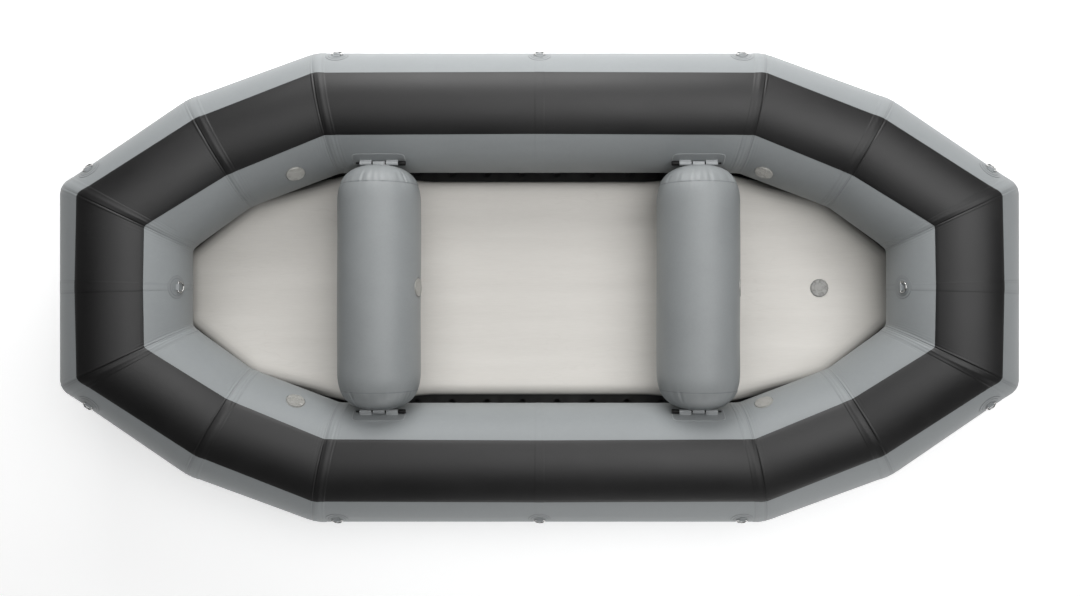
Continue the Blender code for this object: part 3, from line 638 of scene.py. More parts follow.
@dataclass(frozen=True)
class SeamLook:
    """Tape, ridge, groove, painted shade lines and ripples at the hull's seams, over the signed distance
    from the seam.

    The distance is positive towards the middle of the side. A butt seam, at the middle of a side or an
    end, has only a tape of even width. Each bell over the section has a middle and a width in degrees
    from the crown.
    """

    tape_height: float = 0.0011
    tape_low: float = -0.009
    tape_high: float = 0.046
    butt_half: float = 0.019
    edge_soft: float = 0.0014
    ridge_at: float = 0.022
    ridge_width: float = 0.011
    ridge_height: float = 0.0022
    groove_width: float = 0.0026
    groove_depth: float = 0.0020
    second_line_gap: float = 0.0065
    ripple_pitch: float = 0.0150
    ripple_reach: float = 0.055
    ripple_height: float = 0.0006
    ripple_middle: float = 0.01
    ripple_waver: tuple[float, float] = (1.1, 11)
    crest_shares: tuple[float, float] = (0.2, 0.8)
    crest_bell: tuple[float, float] = (-2, 40)
    inner_hollow: tuple[float, float] = (-66, 38)
    outer_hollow: tuple[float, float] = (75, 30)
    outer_share: float = 0.35
    line_width: float = 0.0021
    line_shares: tuple[float, float] = (0.55, 0.45)
    line_bell: tuple[float, float] = (-10, 42)
    butt_bell: tuple[float, float] = (0, 30)
    end_and_side_tone: tuple[float, float] = (0.50, 0.18)
    second_line_tone: float = 0.75
    tape_tones: tuple[float, float] = (0.30, 0.26)
    butt_tone: float = 0.6

    def relief(self, rows: HullRows, degrees: Array) -> Array:
        """Height over the plain tube: tape plus ridge, less groove, plus ripples that fade with distance.

        The ridge and the groove are strongest on the crown, and the ripples on both flanks.

        Args:
            rows: the rows of the surface.
            degrees: angles from the crown of the columns.

        Returns:
            One height for each point.
        """
        gap = rows.seam[:, None]
        crest = self.crest_shares[0] + self.crest_shares[1] * bell(degrees, *self.crest_bell)
        hollow = bell(degrees, *self.inner_hollow) + self.outer_share * bell(degrees, *self.outer_hollow)
        tape = band(gap, self.tape_low, self.tape_high, self.edge_soft)
        ridge = bell(gap, self.ridge_at, self.ridge_width) * self.ridge_height
        groove = bell(gap, 0, self.groove_width) * self.groove_depth
        phase = self.ripple_waver[0] * np.sin(degrees / self.ripple_waver[1])
        wave = np.cos(2 * np.pi * gap / self.ripple_pitch + phase + rows.corner[:, None])
        ripple = wave * bell(gap, self.ripple_middle, self.ripple_reach) * hollow * self.ripple_height
        bend = tape * self.tape_height + (ridge - groove) * crest + ripple
        butt = band(gap, -self.butt_half, self.butt_half, self.edge_soft) * self.tape_height * 0.5
        return np.where(self.mitred(rows), bend, butt)

    @staticmethod
    def mitred(rows: HullRows) -> Array:
        """Which rows belong to a mitred seam, as one column."""
        return ((rows.corner > 0) & (rows.corner < 4))[:, None]

    def crease(self, rows: HullRows, degrees: Array) -> Array:
        """Painted shade for the finish: dark lines, a double one in the groove, and faint double ones at
        the tapes' edges.

        The lines at a butt seam are fainter still, and those at the middle of a side fade on the flanks.

        Args:
            rows: the rows of the surface.
            degrees: angles from the crown of the columns.

        Returns:
            One mark for each point.
        """
        gap = rows.seam[:, None]
        # Painted shade: dark lines in the groove and at the tapes' edges.
        line, outer, inner = self.line_width, self.tape_high, self.tape_high - self.second_line_gap
        bend = bell(gap, 0, line) + self.second_line_tone * bell(gap, self.second_line_gap, line)
        bend = bend + self.tape_tones[0] * bell(gap, outer, line)
        bend = bend + self.tape_tones[1] * bell(gap, inner, line)
        bend = bend * (self.line_shares[0] + self.line_shares[1] * bell(degrees, *self.line_bell))
        apart, half = np.abs(gap), self.butt_half
        pair = bell(apart, half, line) + self.butt_tone * bell(apart, half - self.second_line_gap, line)
        at_end, at_side = self.end_and_side_tone
        fade = np.where((rows.corner == 4)[:, None], at_end, at_side * bell(degrees, *self.butt_bell))
        return np.where(self.mitred(rows), bend, pair * fade) * np.ones_like(degrees)


# Finishes


class Graph:
    """A node tree with short calls for its nodes and links."""

    def __init__(self, tree: Tree) -> None:
        """Hold the tree."""
        self.tree = tree

    def node(self, kind: str, **settings: object) -> Node:
        """Add a node.

        Args:
            kind: its type.
            settings: values of its own settings, by name.

        Returns:
            The node.
        """
        made = self.tree.nodes.new(kind)
        for key, value in settings.items():
            setattr(made, key, value)
        return made

    def feed(self, socket: Socket, value: object) -> None:
        """Link another socket to a socket, or set its value.

        Args:
            socket: the socket that takes it.
            value: another socket, or a number, colour or vector.
        """
        if isinstance(value, Socket):
            self.tree.links.new(value, socket)
        else:
            socket.default_value = value

    def fed(self, kind: str, values: dict[str | int, object], **settings: object) -> Node:
        """Add a node and feed some of its inputs.

        Args:
            kind: its type.
            values: what each input takes, by the input's name or number.
            settings: values of its own settings, by name.

        Returns:
            The node.
        """
        made = self.node(kind, **settings)
        for key, value in values.items():
            self.feed(made.inputs[key], value)
        return made

    def math(self, operation: str, *values: object) -> Socket:
        """Result of a Math node."""
        return self.fed("ShaderNodeMath", dict(enumerate(values)), operation=operation).outputs[0]

    def span(self, value: object, source: tuple[float, float], target: tuple[object, object]) -> Socket:
        """A value carried from one range to another and held inside it."""
        return self.fed("ShaderNodeMapRange", dict(enumerate((value, *source, *target)))).outputs[0]

    def mix(self, factor: object, one: object, two: object) -> Socket:
        """Colour between two colours."""
        return self.fed("ShaderNodeMix", {"Factor": factor, 6: one, 7: two}, data_type="RGBA").outputs[2]

    def noise(self, vector: object, scale: object, detail: float, roughness: float = 0.55) -> Socket:
        """Value of a Noise texture."""
        values = {"Vector": vector, "Scale": scale, "Detail": detail, "Roughness": roughness}
        return self.fed("ShaderNodeTexNoise", values).outputs["Fac"]

    def group(self, tree: Tree, **values: object) -> Node:
        """Place a node group and feed its named inputs."""
        return self.fed("ShaderNodeGroup", values, node_tree=tree)


class Effects:
    """Node groups that several finishes share, each made once.

    The spans are the noise values that are carried to 0 and to 1.
    """

    FINE_TIMES = 23.0
    TONE_SPAN = (0.32, 0.68)
    SCUFF_STRETCH = (1.0, 5.0, 2.2)
    SCUFF_TURN = (0.3, 0.5, 0.35)
    SCUFF_WIDTH = 0.012
    SCUFF_SPAN = (0.52, 0.66)

    @staticmethod
    def _group(name: str, takes: tuple[str, ...], gives: tuple[str, ...]) -> tuple[Graph, Node, Node]:
        """An empty group with its sockets.

        Args:
            name: the group's name.
            takes: names of the inputs after Vector, all plain values.
            gives: names of the outputs, all plain values.

        Returns:
            The group's graph, and its input and output nodes.
        """
        tree = bpy.data.node_groups.new(name, "ShaderNodeTree")
        tree.interface.new_socket("Vector", in_out="INPUT", socket_type="NodeSocketVector")
        for way, keys in (("INPUT", takes), ("OUTPUT", gives)):
            for key in keys:
                tree.interface.new_socket(key, in_out=way, socket_type="NodeSocketFloat")
        graph = Graph(tree)
        return graph, graph.node("NodeGroupInput"), graph.node("NodeGroupOutput")

    @staticmethod
    def weave() -> Tree:
        """Plain weave: half the sum of squared sines of both surface coordinates over the thread's pitch.

        Returns:
            The group, made at the first call.
        """
        tree = bpy.data.node_groups.get("plain_weave")
        if tree:
            return tree
        graph, inlet, outlet = Effects._group("plain_weave", ("Pitch",), ("Height",))
        split = graph.fed("ShaderNodeSeparateXYZ", {0: inlet.outputs["Vector"]})
        turn = graph.math("DIVIDE", math.pi, inlet.outputs["Pitch"])
        waves = []
        for axis in (0, 1):
            wave = graph.math("SINE", graph.math("MULTIPLY", split.outputs[axis], turn))
            waves.append(graph.math("MULTIPLY", wave, wave))
        graph.feed(outlet.inputs["Height"], graph.math("MULTIPLY", graph.math("ADD", *waves), 0.5))
        return graph.tree

    @staticmethod
    def mottle() -> Tree:
        """Cloudy tone: broad noise with a third of fine noise.

        Returns:
            The group, made at the first call.
        """
        tree = bpy.data.node_groups.get("cloudy_mottle")
        if tree:
            return tree
        graph, inlet, outlet = Effects._group("cloudy_mottle", ("Scale",), ("Tone", "Fine"))
        vector, scale = inlet.outputs["Vector"], inlet.outputs["Scale"]
        broad = graph.noise(vector, scale, 5.0, 0.6)
        fine = graph.noise(vector, graph.math("MULTIPLY", scale, Effects.FINE_TIMES), 3.0)
        tone = graph.math("ADD", graph.math("MULTIPLY", broad, 0.7), graph.math("MULTIPLY", fine, 0.3))
        graph.feed(outlet.inputs["Tone"], graph.span(tone, Effects.TONE_SPAN, (0.0, 1.0)))
        graph.feed(outlet.inputs["Fine"], fine)
        return graph.tree

    @staticmethod
    def scuffs() -> Tree:
        """Thin scuffs: the narrow zero line of a stretched noise, thinned out by a second noise.

        Returns:
            The group, made at the first call.
        """
        tree = bpy.data.node_groups.get("thin_scuffs")
        if tree:
            return tree
        graph, inlet, outlet = Effects._group("thin_scuffs", ("Scale", "Amount"), ("Mask",))
        vector, scale = inlet.outputs["Vector"], inlet.outputs["Scale"]
        stretch = graph.fed("ShaderNodeMapping", {
            "Vector": vector, "Scale": Effects.SCUFF_STRETCH, "Rotation": Effects.SCUFF_TURN,
        })
        lines = graph.noise(stretch.outputs[0], scale, 2.0)
        off = graph.math("ABSOLUTE", graph.math("SUBTRACT", lines, 0.5))
        line = graph.span(off, (0.0, Effects.SCUFF_WIDTH), (1.0, 0.0))
        where = graph.noise(vector, graph.math("MULTIPLY", scale, 0.6), 2.0)
        picked = graph.math("MULTIPLY", line, graph.span(where, Effects.SCUFF_SPAN, (0.0, 1.0)))
        graph.feed(outlet.inputs["Mask"], graph.math("MULTIPLY", picked, inlet.outputs["Amount"]))
        return graph.tree


@dataclass(frozen=True)
class Finish:
    """One material: its colours, gloss, grain and wear.

    The pitch and the depth are the grain's, in metres. The two roughness values belong to the shade
    and to the colour, between which the mottle varies.
    """

    name: str
    colour: tuple[float, float, float]
    shade: tuple[float, float, float]
    roughness: tuple[float, float]
    grain: Grain = Grain.MOULDED
    pitch: float = 0.0011
    depth: float = 0.00006
    mottle_scale: float = 3.0
    stretch: tuple[float, float, float] = (1.0, 1.0, 1.0)
    scuff_scale: float = 6.0
    scuff_amount: float = 0.25
    scuff_colour: tuple[float, float, float] = (0.5, 0.5, 0.5)
    crease_colour: tuple[float, float, float] = (0.05, 0.05, 0.05)
    crease_amount: float = 0.0
    metallic: float = 0.0
    specular: float = 0.5

    def faded(self, name: str, amount: float) -> "Finish":
        """The same finish with its colours brightened or darkened by a factor."""
        colour, shade = (tuple(amount * part for part in tone) for tone in (self.colour, self.shade))
        return replace(self, name=name, colour=colour, shade=shade)

    def material(self) -> bpy.types.Material:
        """Build the material once and give it back.

        Returns:
            A material whose colour and roughness vary with the mottle and the scuffs, and whose bump
            is the grain.
        """
        made = bpy.data.materials.get(self.name)
        if made:
            return made
        made = bpy.data.materials.new(self.name)
        made.use_nodes = True
        graph = Graph(made.node_tree)
        shader = made.node_tree.nodes["Principled BSDF"].inputs
        where = graph.node("ShaderNodeTexCoord").outputs
        fit = graph.fed("ShaderNodeMapping", {"Vector": where["Object"], "Scale": self.stretch})
        tone = graph.group(Effects.mottle(), Vector=fit.outputs[0], Scale=self.mottle_scale).outputs
        scuff = graph.group(
            Effects.scuffs(), Vector=where["Object"], Scale=self.scuff_scale, Amount=self.scuff_amount
        ).outputs["Mask"]

        colour = graph.mix(tone["Tone"], (*self.shade, 1), (*self.colour, 1))
        colour = graph.mix(scuff, colour, (*self.scuff_colour, 1))
        # Painted shading: the mark mixes in the shading colour, dark for painted shade, light for painted
        # highlights.
        if self.crease_amount:
            crease = graph.node("ShaderNodeAttribute", attribute_name="crease").outputs["Fac"]
            factor = graph.math("MULTIPLY", crease, self.crease_amount)
            colour = graph.mix(factor, colour, (*self.crease_colour, 1))
        graph.feed(shader["Base Color"], colour)
        gloss = graph.span(tone["Tone"], (0.0, 1.0), self.roughness)
        graph.feed(shader["Roughness"], graph.math("ADD", gloss, graph.math("MULTIPLY", scuff, 0.2)))
        shader["Metallic"].default_value = self.metallic
        shader["Specular IOR Level"].default_value = self.specular

        relief = {"Strength": 1.0, "Distance": self.depth, "Height": self._grain(graph, where, tone)}
        graph.feed(shader["Normal"], graph.fed("ShaderNodeBump", relief).outputs[0])
        return made

    def _grain(self, graph: Graph, where: Outputs, tone: Outputs) -> Socket:
        """Height of the fine relief: woven threads, moulded orange peel or brushed lines.

        Args:
            graph: the material's graph.
            where: outputs of its Texture Coordinate node.
            tone: outputs of its mottle.

        Returns:
            The socket that gives the height.
        """
        if self.grain is Grain.WOVEN:
            weave = graph.group(Effects.weave(), Vector=where["UV"], Pitch=self.pitch)
            return graph.math("ADD", weave.outputs["Height"], graph.math("MULTIPLY", tone["Fine"], 0.7))
        if self.grain is Grain.BRUSHED:
            drawn = graph.fed("ShaderNodeMapping", {"Vector": where["UV"], "Scale": (1.0, 14.0, 1.0)})
            return graph.noise(drawn.outputs[0], 1 / self.pitch, 3.0)
        return graph.noise(where["Object"], 1 / self.pitch, 4.0)


HULL_GREY = Finish(
    "hull_grey_coated_fabric", (0.342, 0.362, 0.370), (0.318, 0.337, 0.345), (0.42, 0.52), Grain.WOVEN,
    mottle_scale=2.4, scuff_amount=0.10, scuff_colour=(0.44, 0.45, 0.45),
    crease_colour=(0.16, 0.17, 0.17), crease_amount=0.55, specular=0.35,
)
THWART_GREY = Finish(
    "thwart_grey_coated_fabric", (0.338, 0.356, 0.362), (0.305, 0.322, 0.328), (0.36, 0.46), Grain.WOVEN,
    mottle_scale=5.0, scuff_amount=0.16, scuff_colour=(0.40, 0.41, 0.41),
    crease_colour=(0.12, 0.13, 0.13), crease_amount=0.60,
)
STRIP_DARK = Finish(
    "wear_strip_charcoal", (0.0125, 0.0122, 0.0125), (0.0085, 0.0083, 0.0086), (0.42, 0.50), Grain.WOVEN,
    mottle_scale=3.5, scuff_amount=0.10, scuff_colour=(0.06, 0.06, 0.06),
    crease_colour=(0.003, 0.003, 0.003), crease_amount=0.95, pitch=0.0016, specular=0.60,
)
FLOOR_SAND = Finish(
    "floor_sand_drop_stitch", (0.885, 0.857, 0.810), (0.810, 0.781, 0.734), (0.58, 0.72), Grain.WOVEN,
    pitch=0.0030, depth=0.00012, mottle_scale=1.5, stretch=(0.6, 7.0, 1.0),
    scuff_scale=3.0, scuff_amount=0.12, scuff_colour=(0.64, 0.61, 0.56),
    crease_colour=(0.060, 0.058, 0.055), crease_amount=0.92,
)
# Its shading colour is lighter than the flap: a painted sheen on the puckers.
FLAP_BLACK = Finish(
    "bail_flap_black", (0.026, 0.0255, 0.0245), (0.016, 0.0155, 0.015), (0.50, 0.66), Grain.WOVEN,
    scuff_colour=(0.08, 0.08, 0.08), crease_colour=(0.09, 0.088, 0.084), crease_amount=0.5,
)
PATCH_GREY = Finish(
    "ring_patch_grey", (0.310, 0.330, 0.338), (0.285, 0.300, 0.308), (0.42, 0.52), Grain.WOVEN,
    scuff_amount=0.15, scuff_colour=(0.42, 0.43, 0.43), crease_colour=(0.10, 0.11, 0.11), crease_amount=0.5,
)
# Its shading colour is light: painted highlights on the knuckles and along the plates' rims.
HINGE_GREY = Finish(
    "hinge_moulded_grey", (0.300, 0.316, 0.322), (0.262, 0.276, 0.282), (0.34, 0.46),
    scuff_amount=0.2, scuff_colour=(0.40, 0.41, 0.41), crease_colour=(0.52, 0.54, 0.55), crease_amount=0.8,
)
PIN_BLACK = Finish(
    "hinge_pin_black", (0.008, 0.008, 0.008), (0.005, 0.005, 0.005), (0.40, 0.52),
    scuff_amount=0.25, scuff_colour=(0.04, 0.04, 0.04), specular=0.3,
)
STEEL = Finish(
    "welded_ring_steel", (0.70, 0.70, 0.69), (0.60, 0.60, 0.59), (0.16, 0.28), Grain.BRUSHED,
    pitch=0.0006, depth=0.00002, metallic=1.0,
    scuff_scale=60.0, scuff_amount=0.3, scuff_colour=(0.42, 0.41, 0.40),
)
CAP_GREY = Finish(
    "valve_cap_pale_grey", (0.430, 0.424, 0.400), (0.370, 0.365, 0.345), (0.24, 0.34), specular=1.0,
    scuff_scale=30.0, scuff_amount=0.3, scuff_colour=(0.48, 0.47, 0.45), crease_colour=(0.15, 0.15, 0.14),
    crease_amount=0.62,
)
# Lit and shaded copies of the cap finish: painted light on the port caps, which face away from the key
# lamp, and painted shade on the floor's cap, which faces the overhead lamps.
CAP_PAINTED_LIGHT = CAP_GREY.faded("valve_cap_sun_bleached", 1.5)
CAP_FINISHES = {
    "floor": CAP_GREY.faded("valve_cap_trodden", 0.74), "bow_port": CAP_PAINTED_LIGHT, "stern_port": CAP_PAINTED_LIGHT,
}
BODY_GREY = Finish(
    "valve_body_grey", (0.420, 0.424, 0.410), (0.370, 0.374, 0.362), (0.36, 0.50),
    scuff_scale=30.0, scuff_colour=(0.40, 0.41, 0.40),
)
PLUNGER_GREY = Finish(
    "valve_plunger_grey", (0.30, 0.30, 0.28), (0.25, 0.25, 0.24), (0.36, 0.50),
    scuff_scale=40.0, scuff_colour=(0.36, 0.36, 0.35),
)


def dress(piece: Piece, finish: Finish, body: str, slot: str, *nodes: str) -> None:
    """Give a piece its finish and its body, and hide the solids that it stands for.

    Args:
        piece: the finished object.
        finish: what it is made of.
        body: the moving body that it rides on.
        slot: the record's material slot; not used.
        nodes: names of the solids that it replaces.
    """
    piece.data.materials.clear()
    piece.data.materials.append(finish.material())
    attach(piece, body)
    if nodes:
        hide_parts(*nodes)
    LOG.info("%s: %d faces, on %s", piece.name, len(piece.data.polygons), body)


# Valves


@dataclass(frozen=True)
class LiftValve:
    """Pocket and cap of a lift valve, and where its seat lies.

    The dish is the cap's shallow hollow, between two radii.
    """

    flange_radius: float = 0.041
    flange_thickness: float = 0.0025
    barrel_radius: float = 0.030
    bore_radius: float = 0.0245
    seat_depth: float = 0.0015
    pocket_depth: float = 0.0431
    cap_radius: float = 0.038
    cap_thickness: float = 0.005
    skirt: float = 0.007
    skirt_wall: float = 0.003
    notch_count: int = 5
    notch_radius: float = 0.0095
    notch_circle: float = 0.0320
    notch_depth: float = 0.0014
    notch_soft: float = 0.0006
    cap_edge: float = 0.0014
    dish: tuple[float, float] = (0.012, 0.0235)
    dish_depth: float = 0.0006
    painted_shade_width: float = 0.0030
    middle_hole: float = 0.0015

    def seated(self, place: Array, radius: float | None) -> Array:
        """The valve's place, let into its carrier.

        Args:
            place: where its axis meets the carrier's surface.
            radius: the radius of a round carrier, or none for a flat one.

        Returns:
            The place of the flange's underside.
        """
        reach = self.flange_radius + SEAT_GAP
        sag = radius - math.sqrt(radius**2 - reach**2) if radius else 0.0
        made = place.copy()
        made[:3, 3] -= place[:3, 2] * (sag + self.seat_depth)
        return made

    def pocket(self, name: str, place: Array) -> Piece:
        """Solid that lets the valve into its carrier: a wide seat and a narrow barrel hole.

        Args:
            name: the carrier's name.
            place: the valve's place.

        Returns:
            The cutter.
        """
        wide, narrow = self.flange_radius + SEAT_GAP, self.barrel_radius + SEAT_GAP
        profile = np.array([(wide, 0.010), (wide, 0.0), (narrow, 0.0), (narrow, -self.pocket_depth)])
        return Skin().turned(profile, place).build("pocket_" + name)

    def cap(self, name: str, place: Array, painted_shade: float) -> Piece:
        """The cap: a disc with a slightly raised middle and finger notches, over a short skirt.

        The top's height over the radius is a shallow dish, less the notches' depth wherever a point lies
        within a notch's radius of its centre, with soft sides. Painted shade darkens the notches and the
        rim.

        Args:
            name: the piece's name.
            place: the valve's place.
            painted_shade: how dark the painted shade in the notches and at the rim is.

        Returns:
            The cap.
        """
        bottom = 2 * SEAT_GAP + self.flange_thickness
        top = bottom + self.cap_thickness
        rim, edge, hole = self.cap_radius, self.cap_edge, self.middle_hole
        angles = round_angles(120)
        turn_in = rim - edge + edge * np.sin([0.5, 1.0, 1.3])
        radii = np.concatenate([np.linspace(hole, rim - edge, 34), turn_in, [rim]])
        ease = np.clip((radii - rim + edge) / edge, 0, 1)
        height = top - edge * (1 - np.sqrt(1 - ease**2)) - self.dish_depth * band(radii, *self.dish, 0.0004)
        x, y = radii[:, None] * np.cos(angles), radii[:, None] * np.sin(angles)
        notch = np.zeros_like(x)
        for turn in 2 * np.pi * np.arange(self.notch_count) / self.notch_count:
            off = np.hypot(x - self.notch_circle * math.cos(turn), y - self.notch_circle * math.sin(turn))
            notch = np.maximum(notch, 1 - step_at(off, self.notch_radius, self.notch_soft))
        z = height[:, None] - notch * self.notch_depth
        rings = np.stack([x, y, np.maximum(z, bottom + 0.001)], axis=-1)
        skirt = (self.bore_radius - SEAT_GAP) * 0.98
        inner, foot = skirt - self.skirt_wall, bottom - self.skirt
        lower = np.array([
            (rim, bottom), (skirt, bottom), (skirt, foot), (inner, foot), (inner, bottom), (hole, bottom),
        ])
        tail = rings_of(lower[:, :1], angles, lower[:, 1:])
        marks = np.zeros((len(rings) + len(tail), len(angles)))
        # Painted shade in the notches and along the rim.
        rim_painted_shade = 0.9 * bell(radii, rim, self.painted_shade_width)[:, None]
        marks[: len(rings)] = painted_shade * np.minimum(0.6 * notch + rim_painted_shade, 1)
        return Skin().solid(moved(place, np.concatenate([rings, tail])), marks=marks).build(name)


# Sub-assemblies


@dataclass
class Hull:
    """Four air chambers with seam tapes, the wear strips over their crown, and the valves' pockets."""

    columns: int = 112
    strip_half_deg: float = 30.0
    strip_thickness: float = 0.0015
    strip_edge_deg: float = 0.6
    strip_columns: int = 33
    valve_along: dict[End, float] = field(default_factory=lambda: {End.BOW: 0.139, End.STERN: 0.213})
    valve_above_deg: dict[End, float] = field(default_factory=lambda: {End.BOW: 20.0, End.STERN: 29.0})
    seams: SeamLook = field(default_factory=SeamLook)
    valve: LiftValve = field(default_factory=LiftValve)

    def valve_seat(self, quarter: Quarter) -> Array:
        """Place of a chamber's valve."""
        place = quarter.seat(1, self.valve_along[quarter.end], self.valve_above_deg[quarter.end] - 90)
        return self.valve.seated(place, quarter.sizes.tube_radius)

    def chamber(self, quarter: Quarter) -> Piece:
        """One air chamber: the mitred tube, lifted by the seams' relief, flat where it stands.

        Args:
            quarter: the quarter of the hull.

        Returns:
            The chamber's skin, with its valve's pocket.
        """
        degrees = np.linspace(-180, 180, self.columns, endpoint=False)
        rows = HullRows.of(quarter, degrees)
        relief = self.seams.relief(rows, degrees)[..., None]
        points = rows.points + self._outward(rows.points) * relief
        points[..., 2] = np.maximum(points[..., 2], 0.0)
        arc = np.radians(np.append(degrees, 180)) * quarter.sizes.tube_radius
        name = label(quarter.end, quarter.side)
        skin = Skin().solid(points, chart_of(rows.travel, arc), self.seams.crease(rows, degrees))
        pocket = self.valve.pocket(name, self.valve_seat(quarter))
        return cut(skin.build("chamber_skin_" + name), [pocket])

    @staticmethod
    def _outward(points: Array) -> Array:
        """Unit normals of a chamber's grid, turned away from the tube's middle.

        Args:
            points: rows by columns by 3.

        Returns:
            One normal for each point.
        """
        normals = grid_normals(points, wrap=True)
        middle = points[0].mean(axis=0)
        away = np.sign(np.sum(normals[0, 0] * (points[0, 0] - middle)))
        return normals * away

    def strip(self, side: Side) -> Piece:
        """A wear strip: the tube's surface between two angles, lifted clear of the seams' relief.

        Its thickness falls to a third at its edges, with the square root of the distance from them.

        Args:
            side: the side of the hull.

        Returns:
            The strip.
        """
        degrees = np.linspace(-self.strip_half_deg, self.strip_half_deg, self.strip_columns)
        rows = HullRows.both(side, degrees)
        normals = grid_normals(rows.points, wrap=False)
        normals = normals * np.sign(normals[..., 2:])
        relief = self.seams.relief(rows, degrees) + SEAT_GAP
        inside = np.minimum(degrees - degrees[0], degrees[-1] - degrees)
        edge = np.clip(inside / self.strip_edge_deg, 0, 1)
        thick = self.strip_thickness * (0.35 + 0.65 * np.sqrt(edge))
        over = rows.points + normals * (relief + thick)[..., None]
        under = rows.points + normals * relief[..., None]
        arc = np.radians(degrees) * HullSizes().tube_radius
        skin = Skin().shell(over, under, chart_of(rows.travel, arc), self.seams.crease(rows, degrees))
        return skin.build("wear_strip_skin_" + label(side))

    def build(self) -> None:
        """Make and dress every piece of the hull."""
        for end in End:
            for side in Side:
                quarter = Quarter(end, side)
                name = label(end, side)
                dress(self.chamber(quarter), HULL_GREY, "root", "hull_fabric", "chamber_" + name)
        for side in Side:
            node = "wear_strip_" + label(side)
            dress(self.strip(side), STRIP_DARK, "root", "wear_strip", node)


